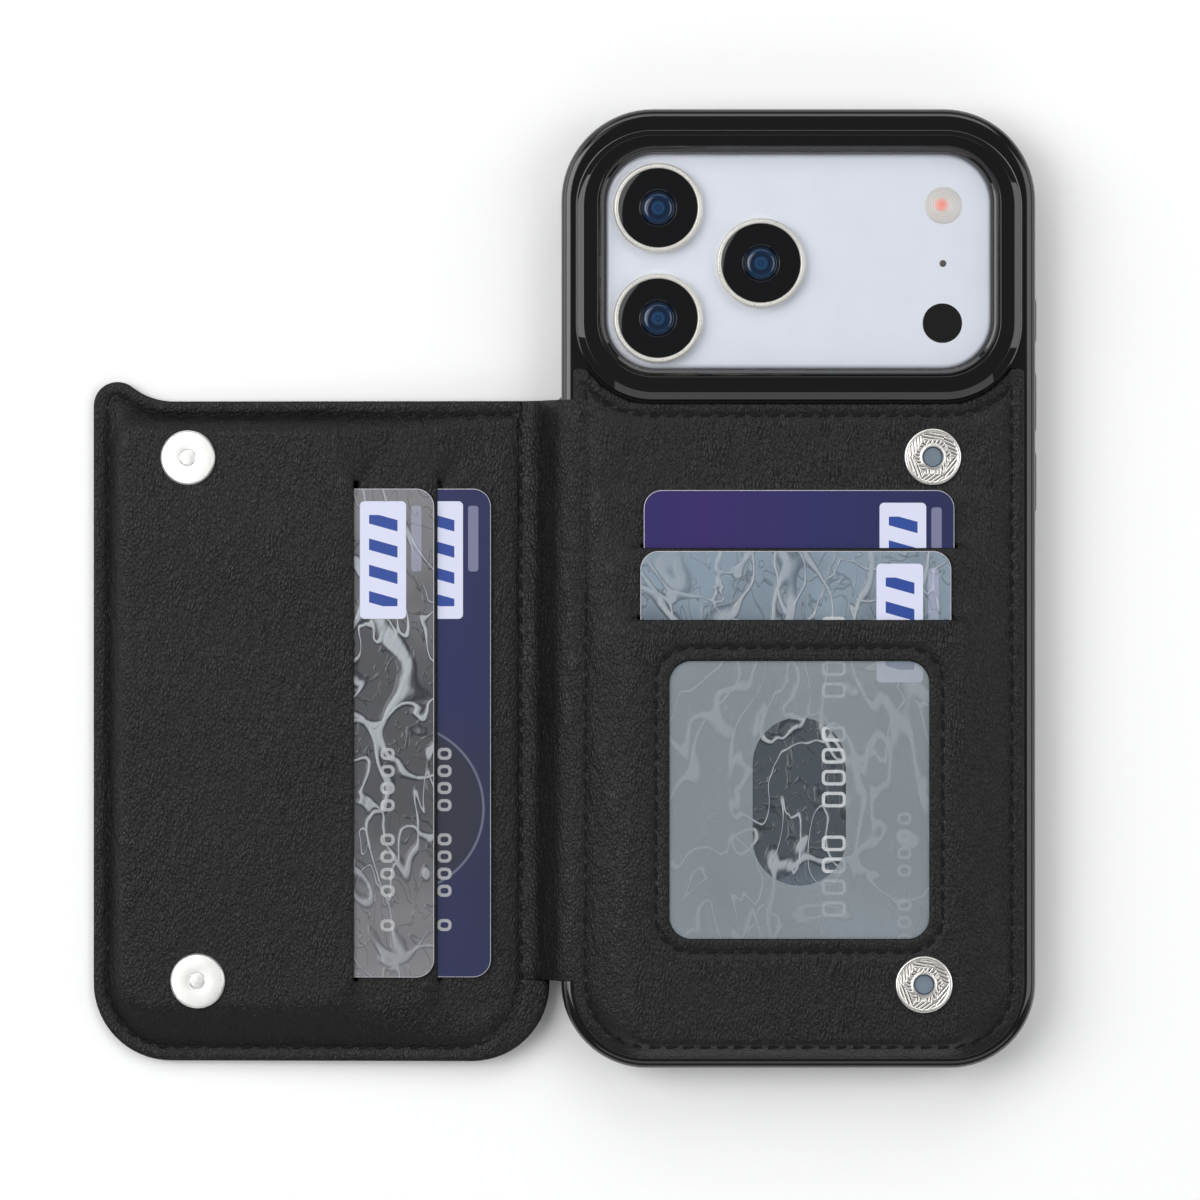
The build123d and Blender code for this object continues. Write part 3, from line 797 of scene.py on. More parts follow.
def stitches(path, heights):
    # one capsule of thread per stitch along a line, a little askew, lying in the groove
    line = evenLoop(path, 0.2)
    closedLine = np.vstack([line, line[:1]])
    run = np.hypot(*np.diff(closedLine, axis=0).T)
    along = np.concatenate([[0], np.cumsum(run)])
    count = int(round(along[-1] / stitch["pitch"]))
    sides, rows = 8, 7
    half, r = stitch["length"] / 2, stitch["radius"]
    template = []
    for i in range(rows):
        a = math.pi * i / (rows - 1)
        x, rr = -half * math.cos(a), r * math.sin(a) ** 0.6 if 0 < i < rows - 1 else 0.02
        for k in range(sides):
            b = 2 * math.pi * k / sides
            template.append((x, rr * math.cos(b), rr * math.sin(b) * stitch["flatten"]))
    template = np.array(template)
    quads = [
        (i * sides + k, i * sides + (k + 1) % sides, (i + 1) * sides + (k + 1) % sides, (i + 1) * sides + k)
        for i in range(rows - 1) for k in range(sides)
    ]
    quads += [tuple(range(sides))[::-1], tuple((rows - 1) * sides + k for k in range(sides))]
    at = (np.arange(count) + 0.5) * along[-1] / count
    spots = np.stack([np.interp(at, along, closedLine[:, k]) for k in (0, 1)], 1)
    ahead = np.stack(
        [np.interp(np.minimum(at + 0.4, along[-1]), along, closedLine[:, k]) for k in (0, 1)], 1
    )
    z = heights(spots)
    parts = []
    for i in range(count):
        d = ahead[i] - spots[i]
        angle = math.atan2(d[1], d[0]) + math.radians(stitch["lean"])
        c, s = math.cos(angle), math.sin(angle)
        x, y, h = template.T
        across, up = spots[i][0] + x * c - y * s, spots[i][1] + x * s + y * c
        parts.append((np.column_stack([across, up, z[i] + h + 0.04]), quads))
    return joined(parts)


# back panel
panel = {
    "insetSide": 2.1,
    "insetFoot": 1.75,
    "corner": 12.75,
    "topY": 38.4,
    "seam": 2.2,
    "slitHeight": 0.5,
    "slitUpper": (-27.5, 27.5, 7.3),
    "slitLower": (-28.1, 27.0, -5.2),
    "pocket": (-28.3, 27.7, -79.1, 60.0),
    "windowW": 45.1,
    "windowH": 48.2,
    "windowY": -36.7,
    "windowCorner": 3.8,
    "windowSeam": 2.35,
    "thickness": 0.45,
    "cell": 0.9,
}
panelHalfW = shellHalfW - panel["insetSide"]
panelFoot = -shellHalfH + panel["insetFoot"]
plateTop = caseBox("back_snap_cap_upper")[0][2]
upperCardLow = caseBox("card_back_upper")[0][2]
bandTop = caseBox("back_card_divider")[1][2]
lowerCardLow, lowerCardHigh = (corner[2] for corner in caseBox("card_back_lower"))
roofTop = caseBox("back_snap_cap_lower")[0][2]
upperSnap = middle(caseBox("back_snap_cap_upper"))[:2]


def panelLoop(margin):
    # right half from the foot up, then the same mirrored; the top runs round the camera guard
    w, low, corner = panelHalfW - margin, panelFoot + margin, panel["corner"] - margin
    guardX, guardY = guardHigh[0] - guard["corner"], guardLow[1] + guard["corner"]
    r = guard["corner"] + windowGap + margin
    top = panel["topY"] - margin
    meet = guardY - math.sqrt(max(0, r * r - (w - guardX) ** 2))
    right = [arc(w - corner, low + corner, corner, -90, 90, 16)]
    if meet > top:
        right.append(arc(w - 0.8, top - 0.8, 0.8, 0, 90, 5))
        start = -math.degrees(math.asin((guardY - top) / r))
    else:
        right.append(np.array([[w, meet]]))
        start = -math.degrees(math.asin((guardY - meet) / r))
    right.append(arc(guardX, guardY, r, start, -90 - start, 16))
    right = np.concatenate(right)
    left = right[::-1] * (-1, 1)
    return np.concatenate([right, left])


def stepDown(x, y, at, x0, x1):
    # the height rule steps at a slit, and eases out past its two ends
    past = np.maximum(np.maximum(x0 - x, x - x1), 0)
    w = 0.25 + past * 1.1
    return smooth((at + w - y) / (2 * w))


panelSeam = panelLoop(panel["seam"])
panelEdge = evenLoop(panelLoop(0), 0.8)
windowHalf = (panel["windowW"] / 2, panel["windowH"] / 2)


def windowOutline(grow):
    w, h, y = windowHalf[0] + grow, windowHalf[1] + grow, panel["windowY"]
    return roundedLoop(-w, w, y - h, y + h, panel["windowCorner"] + grow)


windowSeam = windowOutline(panel["windowSeam"])


def backHeights(points, groove=True):
    x, y = points.T
    under = smooth((17.6 - y) / 2.0)
    bare = plateTop + 0.45
    h = bare + (upperCardLow - 0.1 - bare) * under
    near = np.hypot(x - upperSnap[0], y - upperSnap[1])
    h = h - (h - plateTop - 0.18) * smooth((8.0 - near) / 3.2)
    for slit, level in (("slitUpper", bandTop - 0.05), ("slitLower", roofTop)):
        x0, x1, at = panel[slit]
        h = h + (level - h) * stepDown(x, y, at, x0, x1)
    px0, px1, py0, py1 = panel["pocket"]
    outside = np.maximum(boxDistance(x, y, px0, px1, py0, py1, 3.0), 0)
    toSeam = np.where(inside(points, panelSeam), distanceTo(points, evenLoop(panelSeam, 0.8)), 0)
    toEdge = distanceTo(points, panelEdge)
    share = smooth(toEdge / (toEdge + outside + 1e-6))
    seamZ = plateTop + 0.05
    h = seamZ + (h - seamZ) * share
    h = h + 0.34 * smooth(toSeam / 2.6) * smooth((7.5 - toSeam) / 4.5) * smooth((outside - 0.2) / 2.0)
    h = h + swell(points, 3, 24, 0.16) * smooth((outside - 0.5) / 3.0) * smooth(toSeam / 2)
    overCard = (np.abs(x) < 27.0) & (y < panel["slitUpper"][2])
    h = h + np.where(overCard, np.exp(-((y - 6.9) / 0.7) ** 2), 0) * 0.05
    if groove:
        h = h - grooves(points, [panelSeam, windowSeam], 0.8, 0.36)
    return h


def slitLoop(x0, x1, at, thick):
    return roundedLoop(x0, x1, at - thick / 2, at + thick / 2, thick / 2 - 0.01, steps=6)


def makePanel():
    holes = [
        slitLoop(*panel["slitUpper"], panel["slitHeight"]),
        slitLoop(*panel["slitLower"], panel["slitHeight"]),
        windowOutline(0),
    ]
    points, faces = leatherSheet(
        panelLoop(0), holes, panel["cell"], backHeights, panel["thickness"], [panelSeam, windowSeam]
    )
    replaced = ("back_pocket_leather", "back_card_divider")
    piece = addPiece(
        "backPanel", points, faces, backLeather, "case", replaced, sharp=50
    )
    for name, path, node in (
        ("backThread", panelSeam, "back_thread"), ("windowThread", windowSeam, "window_thread")
    ):
        points, faces = stitches(path, backHeights)
        addPiece(name, points, faces, thread, "case", node)
    panelLoop(0)


makePanel()
nodes["back_board"].data.materials[0] = leatherFinish("boardEdge", 0.6, 0.8)
print("back panel: leather, window and stitching are made")


# flap
flap = {
    "corner": 13.6,
    "ear": 2.6,
    "tabR": 4.2,
    "tabRise": 3.45,
    "hollowR": 12.0,
    "foot": -68.4,
    "foldEdge": -0.6,
    "seam": 2.4,
    "slitOuter": 31.3,
    "slitInner": 16.7,
    "slitEnds": (-68.8, 18.9),
    "pocket": (-71.7, 20.0, -72.6, 27.6),
    "cell": 0.95,
}
outerLow, outerHigh = flapBox("flap_outer_leather")
flapW, flapLow = -outerLow[0], outerLow[1]
flapTop = outerHigh[1] - flap["tabRise"]
innerCard, outerCard = flapBox("card_flap_inner"), flapBox("card_flap_outer")
flapBand = flapBox("flap_card_divider")[1][2]
flapRoof = flapBox("flap_snap_disc_upper")[0][2]
flapPlate = innerCard[0][2]


def flapLoop(margin, foldEdge=None):
    left, low, high = -flapW + margin, flapLow + margin, flapTop - margin
    corner = flap["corner"] - margin
    tab = max(flap["tabR"] - margin, 0.8)
    hollow = flap["hollowR"] + margin
    tabX, tabY = left + tab, flapTop + flap["tabRise"] - flap["tabR"]
    hollowY = high + hollow
    hollowX = tabX + math.sqrt((tab + hollow) ** 2 - (hollowY - tabY) ** 2)
    lean = math.degrees(math.atan2(hollowY - tabY, hollowX - tabX))
    right = flap["ear"] - margin
    edge = flap["foldEdge"] - margin if foldEdge is None else foldEdge
    foot = max(flap["foot"] - margin, low + corner)
    return np.concatenate([
        arc(right - corner, low + corner, corner, -90, 90, 16),
        np.array([[right, foot], [edge, foot], [edge, high]]),
        arc(hollowX, hollowY, hollow, 270, lean - 90, 14),
        arc(tabX, tabY, tab, lean, 180 - lean, 16),
        arc(left + corner, low + corner, corner, 180, 90, 16),
    ])


def seamOfFlap():
    # the seam keeps straight down the fold side and turns with the lower corner
    m = flap["seam"]
    loop = flapLoop(m)
    corner = flap["corner"] - m
    x1 = -m
    low = flapLow + m
    right = arc(x1 - corner, low + corner, corner, -90, 90, 16)
    rest = loop[20:]     # past the lower corner and the fold side
    return np.concatenate([right, [[x1, flapTop - m]], rest])


flapSeam = seamOfFlap()


def flapHeights(points, groove=True):
    x, y = points.T
    y0, y1 = flap["slitEnds"]
    h = np.full(len(points), flapPlate - 0.08)
    for at, level in ((-flap["slitInner"], flapBand - 0.05), (-flap["slitOuter"], flapRoof)):
        past = np.maximum(np.maximum(y0 - y, y - y1), 0)
        w = 0.25 + past * 1.1
        h = h + (level - h) * smooth((at + w - x) / (2 * w))
    px0, px1, py0, py1 = flap["pocket"]
    outside = np.maximum(boxDistance(x, y, px0, px1, py0, py1, 4.0), 0)
    toSeam = np.where(inside(points, flapSeam), distanceTo(points, evenLoop(flapSeam, 0.8)), 0)
    share = smooth(toSeam / (toSeam + outside + 1e-6))
    seamZ = 0.9
    h = seamZ + (h - seamZ) * np.minimum(share, smooth(toSeam / 2.4 + 0.05))
    h = h + 0.34 * smooth(toSeam / 2.4) * smooth((7.0 - toSeam) / 4.5) * smooth((outside - 0.2) / 2.0)
    h = h + swell(points, 8, 30, 0.2) * smooth(toSeam / 4.0) * smooth((-33.0 - x) / 6.0)
    if groove:
        h = h - grooves(points, [flapSeam], 0.8, 0.36)
    return h


def makeFlap():
    y0, y1 = flap["slitEnds"]
    holes = [
        roundedLoop(at - 0.25, at + 0.25, y0, y1, 0.24, steps=6)
        for at in (-flap["slitInner"], -flap["slitOuter"])
    ]
    outline = flapLoop(0, -flap["seam"] + 0.2)
    points, faces = leatherSheet(outline, holes, flap["cell"], flapHeights, 0.5, [flapSeam], 0.34)
    replaced = ("flap_pocket_leather", "flap_card_divider")
    pocket = addPiece(
        "flapPocket", points, faces, flapLeather, "flap", replaced, flapPlace, 50
    )
    points, faces = stitches(flapSeam, flapHeights)
    row = addPiece("flapThread", points, faces, thread, "flap", "flap_thread", flapPlace)

    def under(p):
        return np.full(len(p), 0.42) + swell(p, 5, 40, 0.02)

    outline = flapLoop(0.04, -flap["seam"] + 0.2)
    points, faces = leatherSheet(outline, [], 2.2, under, 0.66, [], 0.2)
    outer = addPiece(
        "flapOuter", points, faces, flapLeather, "flap", "flap_outer_leather", flapPlace, 50,
    )


makeFlap()
nodes["flap_board"].data.materials[0] = bpy.data.materials["boardEdge"]
print("flap: pocket, outer leather and stitching are made")


# spine: one soft strip from under the panel seam, over the shell's edge and down to the flap seam
spine = {
    "tuck": 3.2, "thickness": 0.8, "bendUpper": 4.3, "bendLower": 4.4, "rows": 90, "low": -68.4,
    "high": 32.9
}


def spineLine():
    upper = np.array([spineFold[0] / mm - caseX, spineFold[2] / mm])
    lower = np.array([flapFold[0] / mm - caseX, flapFold[2] / mm])
    foot = lower - flapAxis[[0, 2]] * (flap["seam"] + 0.3) + flapUp[[0, 2]] * 0.25
    out = foot - flapAxis[[0, 2]] * spine["tuck"] - flapUp[[0, 2]] * 0.2
    seam = np.array([-panelHalfW + panel["seam"] - 0.3, upper[1] - 0.05])
    first = seam + (spine["tuck"], -0.3)
    bends = softLine(
        [seam, upper, lower + flapUp[[0, 2]] * 0.25, foot], [spine["bendUpper"], spine["bendLower"]], 12
    )
    return [first] + bends + [out], upper, lower


def stripMesh(line, low, high):
    # a strip of even thickness along a line in x and z
    line = np.array(line)
    along = np.gradient(line, axis=0)
    along /= np.hypot(*along.T)[:, None]
    normal = np.column_stack([along[:, 1], -along[:, 0]])
    normal *= np.sign(normal[:, 1])[:, None]
    ys = np.linspace(low, high, spine["rows"])
    half = spine["thickness"] / 2
    ring = []
    for y in ys:
        edge = min(y - low, high - y)
        h = half - 0.18 * (1 - math.sqrt(max(0, 1 - max(0, 1 - edge / 0.6) ** 2)))
        wave = 0.03 * math.sin(y * 0.31) + 0.02 * math.sin(y * 0.83 + 1)
        top, bottom = line + normal * (h + wave), line - normal * half
        ring.append(np.concatenate([top, bottom[::-1]]))
    loops = [np.column_stack([r[:, 0], np.full(len(r), y), r[:, 1]]) for r, y in zip(ring, ys)]
    return skin(loops, capStart=True, capEnd=True)


def makeSpine():
    line, upper, lower = spineLine()
    line = np.array(line)
    run = np.concatenate([[0], np.cumsum(np.hypot(*np.diff(line, axis=0).T))])
    at = np.linspace(0, run[-1], 61)
    line = np.stack([np.interp(at, run, line[:, k]) for k in (0, 1)], 1)
    mid = int(np.argmin(np.hypot(*(line - (upper + lower) / 2).T)))
    for name, part, bodies, replaced, centre in (
        ("spineUpper", line[:mid + 1], ("case", "spine"), "spine_leather", upper),
        ("spineLower", line[mid:], ("spine", "flap"), "spine_lining", lower),
    ):
        points, faces = stripMesh(part, spine["low"], spine["high"])
        piece = addPiece(name, points, faces, flapLeather, None, sharp=60)
        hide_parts(replaced)
        way = np.array([lower[0] - upper[0], 0, lower[1] - upper[1]])
        way /= np.linalg.norm(way)
        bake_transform(piece)


makeSpine()
print("spine: strip is bent over the shell's edge")


# window film
film = {"margin": 1.6, "thickness": 0.2, "holeW": 16.2, "holeH": 29.2, "holeY": -37.0}


def filmFinish():
    material, shader, place = startFinish("windowFilm", (0.4, 0.44, 0.47), 0.3, Alpha=0.36)
    shader.inputs["Specular IOR Level"].default_value = 0.4
    haze = noise(material, place, 90.0, 4.0)
    bump(material, shader, haze, 0.00012, 0.3)
    link(material, ramp(material, haze, [(0.3, 0.24), (0.7, 0.38)]), shader.inputs["Roughness"])
    link(
        material,
        ramp(
            material, noise(material, place, 30.0, 2.0),
            [(0.3, (0.34, 0.39, 0.42)), (0.7, (0.39, 0.44, 0.47))],
        ),
        shader.inputs["Base Color"]
    )
    return material


def makeFilm():
    high = caseBox("id_window_film")[1]
    outline = windowOutline(film["margin"])
    r = film["holeW"] / 2
    reach = film["holeH"] / 2 - r
    hole = np.concatenate([
        arc(0, film["holeY"] + reach, r, 0, 180, 40),
        arc(0, film["holeY"] - reach, r, 180, 180, 40),
    ])

    def heights(p):
        return np.full(len(p), high[2]) - 0.012 - swell(p, 2, 34, 0.01)

    points, faces = leatherSheet(
        outline, [hole], 1.6, heights, film["thickness"] - 0.03, [], 0.03, (0.08, 0.3)
    )
    piece = addPiece(
        "windowFilm", points, faces, filmFinish(), "case", "id_window_film", sharp=50
    )


makeFilm()


# cards: a bevelled plate, and a print laid out from its upper right corner
card = {
    "corner": 3.18,
    "edge": 0.12,
    "label": (4.9, 13.0, 2.2, 22.8),
    "bars": (6.4, 11.4, 4.6, 20.6),
    "fineBar": (2.2, 4.0, 3.0, 14.5),
    "figures": (18.3, 22.5, 11.0, 76.0),
    "name": (6.9, 9.4, 45.0, 78.0),
    "veinTurn": 0.6,
}


def boxMask(material, x, y, x0, x1, y0, y1, r, soft=0.06):
    # 1 inside a rounded rectangle
    do = partial(calc, material)
    dx = do("SUBTRACT", do("ABSOLUTE", do("SUBTRACT", x, (x0 + x1) / 2)), (x1 - x0) / 2 - r)
    dy = do("SUBTRACT", do("ABSOLUTE", do("SUBTRACT", y, (y0 + y1) / 2)), (y1 - y0) / 2 - r)
    both = do(
        "SQRT",
        do("ADD", do("POWER", do("MAXIMUM", dx, 0.0), 2.0), do("POWER", do("MAXIMUM", dy, 0.0), 2.0))
    )
    away = do("ADD", both, do("MINIMUM", do("MAXIMUM", dx, dy), 0.0))
    return do("MULTIPLY", do("SUBTRACT", r + soft / 2, away), 1 / soft)


def clamp(material, value):
    return addNode(material, "Clamp", {0: value}).outputs[0]


def cardFinish(name, corner, kind):
    # x is mm left of the card's right edge and y is mm below its top edge
    material, shader, place = startFinish(name, (0.1, 0.1, 0.2), 0.22)
    do = partial(calc, material)
    shader.inputs["Coat Weight"].default_value = 0.4
    shader.inputs["Coat Roughness"].default_value = 0.12
    split = addNode(material, "SeparateXYZ", {0: place})
    x = do("MULTIPLY_ADD", split.outputs[0], -1 / mm, corner[0])
    y = do("MULTIPLY_ADD", split.outputs[1], -1 / mm, corner[1])
    label = clamp(material, boxMask(material, x, y, *card["label"], 0.8))
    if kind == "navy":
        across = do("DIVIDE", x, 54.0)
        base = ramp(
            material, across,
            [
                (0.0, (0.022, 0.026, 0.085)), (0.45, (0.026, 0.026, 0.115)),
                (0.8, (0.036, 0.022, 0.125)), (1.0, (0.03, 0.022, 0.12))
            ]
        )
        down = do("DIVIDE", y, 86.0)
        base = mixColour(
            material, ramp(material, down, [(0.42, 0.0), (0.6, 0.55), (1.0, 0.25)]), base,
            (0.03, 0.032, 0.06)
        )
        arcOff = do(
            "SQRT",
            do("ADD", do("POWER", do("SUBTRACT", x, 16.0), 2.0), do("POWER", do("SUBTRACT", y, 56.0), 2.0))
        )
        moon = ramp(
            material, do("DIVIDE", arcOff, 22.0), [(0.0, 0.9), (0.62, 0.75), (0.68, 0.1), (1.0, 0.0)]
        )
        base = mixColour(material, moon, base, (0.03, 0.033, 0.042))
        edge = ramp(material, do("DIVIDE", arcOff, 22.0), [(0.655, 0.0), (0.668, 0.5), (0.682, 0.0)])
        base = mixColour(material, edge, base, (0.3, 0.32, 0.38))
    else:
        cloud = noise(material, place, 55.0, 3.0)
        down = do("MULTIPLY_ADD", cloud, 0.35, do("DIVIDE", y, 120.0))
        tint = kind == "slate"
        pale, deep = ((0.22, 0.28, 0.34), (0.06, 0.072, 0.085)) if tint else (
            (0.2, 0.2, 0.215), (0.075, 0.076, 0.085)
        )
        base = ramp(material, down, [(0.22, pale), (0.4, deep), (0.62, deep), (0.85, pale)])
        turned = addNode(
            material, "Mapping",
            {"Vector": place, "Rotation": (0, 0, card["veinTurn"]), "Scale": (1, 0.55, 1)}
        ).outputs[0]
        lines = []
        for pitch, width, seed in ((42.0, 0.026, 0.0), (80.0, 0.026, 0.4), (170.0, 0.024, 0.9)):
            moved = addNode(material, "Mapping", {"Vector": turned, "Location": (seed, seed, 0)}).outputs[0]
            feeds = {"Vector": moved, "Scale": pitch, "Detail": 1.5, "Roughness": 0.5, "Distortion": 1.6}
            field = addNode(material, "TexNoise", feeds).outputs["Fac"]
            away = do("ABSOLUTE", do("SUBTRACT", field, 0.5))
            lines.append(ramp(material, do("DIVIDE", away, width), [(0.0, 1.0), (0.3, 0.85), (1.0, 0.0)]))
        vein = do("MAXIMUM", do("MAXIMUM", lines[0], lines[1]), do("MULTIPLY", lines[2], 0.6))
        fray = noise(material, turned, 700.0, 4.0, 0.7, (1.0, 0.25, 1.0))
        vein = do("MULTIPLY", vein, do("MULTIPLY_ADD", fray, 0.9, 0.45))
        vein = do("MULTIPLY", vein, do("SUBTRACT", 1.0, label))
        band = ramp(material, down, [(0.12, 0.15), (0.34, 1.0), (0.65, 0.8), (0.9, 0.25)])
        shade = ramp(material, vein, [(0.02, 0.0), (0.25, 0.9), (0.55, 0.3)])
        base = mixColour(material, do("MULTIPLY", shade, band), base, (0.02, 0.024, 0.03))
        light = ramp(material, vein, [(0.5, 0.0), (0.8, 0.85)])
        base = mixColour(material, do("MULTIPLY", light, band), base, (0.42, 0.45, 0.48))
        bump(material, shader, vein, 0.0003, 0.6)
    # pale label with slanted blue bars in it, a fine grey bar beside it, and rows of blank embossed figures
    base = mixColour(material, label, base, (0.66, 0.68, 0.84))
    lean = do("MULTIPLY_ADD", x, 0.28, y)
    bars = do("LESS_THAN", do("MODULO", do("ADD", lean, 1.9), 4.6), 2.0)
    inBars = do("MULTIPLY", bars, clamp(material, boxMask(material, x, y, *card["bars"], 0.2)))
    base = mixColour(material, inBars, base, (0.03, 0.07, 0.3))
    bar = clamp(material, boxMask(material, x, y, *card["fineBar"], 0.5))
    base = mixColour(material, do("MULTIPLY", bar, 0.35), base, (0.5, 0.5, 0.7))
    for span, pitch, width, tone in ((card["figures"], 3.8, 2.7, 0.6), (card["name"], 3.0, 2.1, 0.42)):
        x0, x1, y0, y1 = span
        step = do("MODULO", do("SUBTRACT", y, y0), pitch)
        inRow = clamp(material, boxMask(material, x, y, x0 - 1, x1 + 1, y0, y1, 0.1))
        group = do("LESS_THAN", do("MODULO", do("SUBTRACT", y, y0), pitch * 5), pitch * 4)
        outer = clamp(material, boxMask(material, x, step, x0, x1, 0.4, 0.4 + width, 0.9))
        inner = clamp(material, boxMask(material, x, step, x0 + 0.55, x1 - 0.55, 0.95, width - 0.15, 0.45))
        figure = do("MULTIPLY", do("SUBTRACT", outer, inner), do("MULTIPLY", inRow, group))
        base = mixColour(material, do("MULTIPLY", figure, 0.8), base, (tone, tone * 1.02, tone * 1.05))
    link(material, base, shader.inputs["Base Color"])
    return material


edgeCore = metalFinish("cardEdge", (0.5, 0.5, 0.55), 0.4, 900.0, metallic=0.0)


def makeCard(node, name, kind, body, place, box):
    low, high = box
    e = card["edge"]
    loops = [
        flat(roundedLoop(low[0] + i, high[0] - i, low[1] + i, high[1] - i, card["corner"] - i, steps=14), z)
        for i, z in (
            (e, low[2]), (0.02, low[2] + e), (0.0, high[2] - e), (0.03, high[2] - e * 0.35), (e, high[2])
        )
    ]
    points, faces = skin(loops, capStart=True, capEnd=True)
    corner = place([[high[0], high[1], high[2]]])[0] / mm
    piece = addPiece(name, points, faces, cardFinish(name + "Print", corner, kind), body, node, place, 20)
    piece.data.materials.append(edgeCore)
    for polygon in piece.data.polygons:
        polygon.material_index = 0 if len(polygon.vertices) > 4 else 1


makeCard(
    "card_back_upper", "cardBackUpper", "navy", "card_back_upper", casePlace, caseBox("card_back_upper")
)
makeCard(
    "card_back_lower", "cardBackLower", "slate", "card_back_lower", casePlace, caseBox("card_back_lower")
)
makeCard("card_flap_inner", "cardFlapInner", "navy", "card_flap_inner", flapPlace, innerCard)
makeCard("card_flap_outer", "cardFlapOuter", "silver", "card_flap_outer", flapPlace, outerCard)
print("cards: four printed cards are in their slits")


# snaps
snap = {
    "hatch": 0.56, "depth": 0.11, "rim": 0.55, "hexagon": 2.95, "holeR": 1.75, "collar": 0.45,
    "edge": 0.28, "capR": 4.95, "turns": 288
}


def capFinish():
    # nickel, with painted shade darkening the embossed lines
    material = metalFinish("snapNickel", (0.9, 0.88, 0.84), 0.3, 4000.0)
    colour = material.node_tree.nodes["Principled BSDF"].inputs["Base Color"]
    grooveShade = addNode(material, "VertexColor", layer_name="grooveShade").outputs["Color"]
    # the dark brown mixed in here is painted shade in the cut lines
    link(material, mixColour(material, grooveShade, colour.links[0].from_socket, (0.1, 0.085, 0.08)), colour)
    return material


snapNickel = capFinish()
discNickel = metalFinish("discNickel", (0.97, 0.96, 0.93), 0.36, 3500.0)
magnetBlue = metalFinish("magnetBlue", (0.22, 0.28, 0.34), 0.4, 2500.0, metallic=0.6)
rivetSteel = metalFinish("rivetSteel", (0.93, 0.92, 0.9), 0.3, 3000.0)


def capHeights(x, y):
    # six petals of hatching round a hexagon, each cut at its own angle
    r, a = np.hypot(x, y), np.arctan2(y, x)
    sector = np.floor((a + math.pi) / (math.pi / 3))
    inSector = (a + math.pi) % (math.pi / 3) - math.pi / 6
    across = r * np.cos(inSector)
    outer = across > snap["hexagon"]
    way = sector * math.pi / 3 + np.where(outer, 0.35, 1.4) + np.where(sector % 2 == 0, 0.0, 0.8)
    wave = np.abs(((x * np.cos(way) + y * np.sin(way)) / snap["hatch"]) % 1 - 0.5) * 2
    cut = smooth((wave - 0.25) / 0.4) - 1
    border = np.minimum(
        smooth(np.abs(across - snap["hexagon"]) / 0.18),
        smooth(np.abs(inSector) * r / 0.14 + np.where(outer, 1, 0))
    )
    cut = np.minimum(cut, 0) * border
    size = snap["capR"]
    band = smooth((size - snap["rim"] - r) / 0.2) * smooth((r - snap["holeR"] - snap["collar"]) / 0.2)
    ridge = 0.05 * smooth((r - size + snap["rim"] + 0.1) / 0.2)
    ridge = ridge + 0.06 * smooth((snap["holeR"] + snap["collar"] - r) / 0.25)
    return cut * snap["depth"] * band + ridge


def makeCap(which):
    node = "back_snap_cap_" + which
    low, high = caseBox(node)
    spot, size, top = middle((low, high))[:2], (high[0] - low[0]) / 2, high[2] - 0.06
    radii = np.concatenate([
        [snap["holeR"], snap["holeR"] + 0.06],
        np.linspace(snap["holeR"] + 0.12, size - snap["edge"], 30),
    ])
    turns = np.linspace(0, 2 * math.pi, snap["turns"], endpoint=False)

    def ringAt(r, z):
        x, y = spot[0] + r * np.cos(turns), spot[1] + r * np.sin(turns)
        return np.column_stack([x, y, z + np.zeros(len(turns))])

    loops = [ringAt(snap["holeR"], low[2] + 0.3)]
    for i, r in enumerate(radii):
        drop = 0.08 if i == 0 else 0
        loops.append(ringAt(r, top + capHeights(r * np.cos(turns), r * np.sin(turns)) - drop))
    for a in np.linspace(18, 90, 5):
        r = size - snap["edge"] + snap["edge"] * math.sin(math.radians(a))
        loops.append(ringAt(r, top + 0.05 - snap["edge"] * (1 - math.cos(math.radians(a)))))
    loops.append(ringAt(size, low[2]))
    points, faces = skin(loops)
    piece = addPiece(
        "snapCap_" + which, points, faces, snapNickel, "case", node, sharp=45
    )
    # painted shade darkens the embossed lines, more where they are cut deeper
    capRelief = capHeights(points[:, 0] - spot[0], points[:, 1] - spot[1])
    grooveShade = np.clip(-capRelief / snap["depth"], 0, 1)
    grooveShadeLayer = piece.data.color_attributes.new("grooveShade", "FLOAT_COLOR", "POINT")
    grooveShadeLayer.data.foreach_set("color", np.column_stack([grooveShade, grooveShade, grooveShade, np.ones(len(grooveShade))]).ravel())


def makeDisc(which):
    node = "flap_snap_disc_" + which
    low, high = flapBox(node)
    spot, size = middle((low, high))[:2], (high[0] - low[0]) / 2
    top = high[2]
    line = softLine(
        [(1.42, low[2]), (1.42, top - 0.06), (1.5, top),
         (size - 0.3, top), (size, top - 0.3), (size, low[2])],
        0.12, 4
    )
    points, faces = lathe(line, spot, 96)
    addPiece("snapDisc_" + which, points, faces, discNickel, "flap", node, flapPlace)
    return spot, top


def makeSnaps():
    for which in ("upper", "lower"):
        makeCap(which)
    rivets = []
    for which in ("upper", "lower"):
        spot, top = makeDisc(which)
        line = softLine([(0, top), (1.25, top - 0.01), (1.4, top - 0.07), (1.4, top - 0.5)], 0.05, 4)
        rivets.append(lathe(line, spot, 48))
    points, faces = joined(rivets)
    addPiece(
        "flapRivets", points, faces, rivetSteel, "flap", "flap_snap_rivets", flapPlace,
    )
    nodes["back_snap_magnets"].data.materials[0] = magnetBlue
    nodes["back_snap_rivets"].data.materials[0] = magnetBlue
    for node in ("back_snap_washers", "flap_snap_washers"):
        nodes[node].data.materials[0] = rivetSteel


makeSnaps()
print("snaps: two embossed caps and two plain discs are set")


# stage: pale floor, soft lights and the camera straight above
studio = {
    "eyeX": -34.6,       # mm from the middle of the shell
    "eyeY": -2.0,
    "eyeZ": 1164.0,
    "lens": 198.5,
    "worldLight": 0.17,
    "floorTone": 0.92,
}


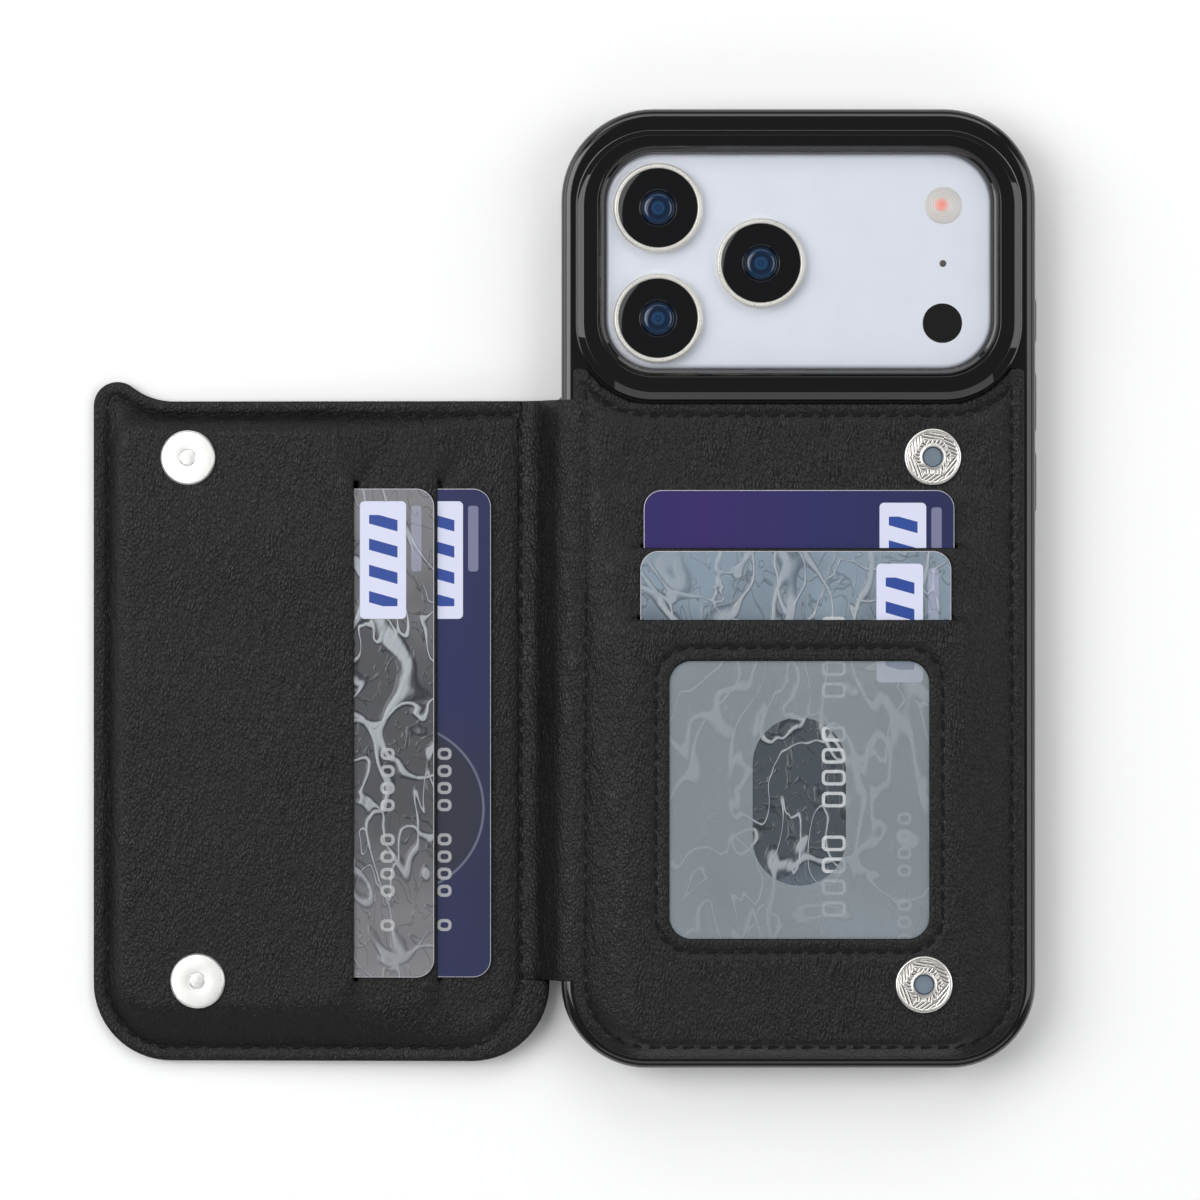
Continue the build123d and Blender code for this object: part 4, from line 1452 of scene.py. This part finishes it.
def softBox(name, place, size, power, aim=(0.0, 0.0, 0.0), shape="RECTANGLE"):
    light = bpy.data.lights.new(name, "AREA")
    light.shape, light.size, light.size_y, light.energy = shape, size[0], size[1], power
    lamp = bpy.data.objects.new(name, light)
    bpy.context.scene.collection.objects.link(lamp)
    lamp.location = place
    lamp.rotation_euler = (Vector(aim) - Vector(place)).to_track_quat("-Z", "Y").to_euler()
    return lamp


def makeStage():
    scene = bpy.context.scene
    mesh = bpy.data.meshes.new("floor")
    s = 6.0
    mesh.from_pydata([(-s, -s, 0), (s, -s, 0), (s, s, 0), (-s, s, 0)], [], [(0, 1, 2, 3)])
    floor = bpy.data.objects.new("floor", mesh)
    floor.location = (0, 0, -0.0004)
    scene.collection.objects.link(floor)
    tone = studio["floorTone"]
    material, shader, place = startFinish("floorPaper", (tone, tone, tone), 0.9)
    link(
        material, ramp(material, noise(material, place, 4.0), [(0.3, tone - 0.01), (0.7, tone)]),
        shader.inputs["Base Color"]
    )
    mesh.materials.append(material)
    world = bpy.data.worlds.new("studio")
    world.use_nodes = True
    world.node_tree.nodes["Background"].inputs["Color"].default_value = (0.95, 0.97, 1.0, 1)
    world.node_tree.nodes["Background"].inputs["Strength"].default_value = studio["worldLight"]
    scene.world = world
    softBox("boxLeft", (-1.1, 0.25, 1.15), (1.1, 1.6), 13)
    softBox("boxRight", (1.15, 0.1, 1.0), (1.0, 1.6), 9)
    softBox("boxBack", (0.0, 1.3, 1.1), (1.8, 0.9), 10.5)
    softBox("boxFront", (0.2, -1.4, 1.0), (2.4, 0.9), 6)
    softBox("boxAbove", (-1.0, 0.35, 1.6), (1.2, 1.6), 9)
    camera = bpy.data.cameras.new("camera")
    camera.lens, camera.sensor_width = studio["lens"], 36
    camera.clip_end = 20
    eye = bpy.data.objects.new("camera", camera)
    eye.location = ((caseX + studio["eyeX"]) * mm, studio["eyeY"] * mm, studio["eyeZ"] * mm)
    scene.collection.objects.link(eye)
    scene.camera = eye
    scene.view_settings.view_transform = "Standard"


makeStage()
print("stage: floor, lights and camera are set")
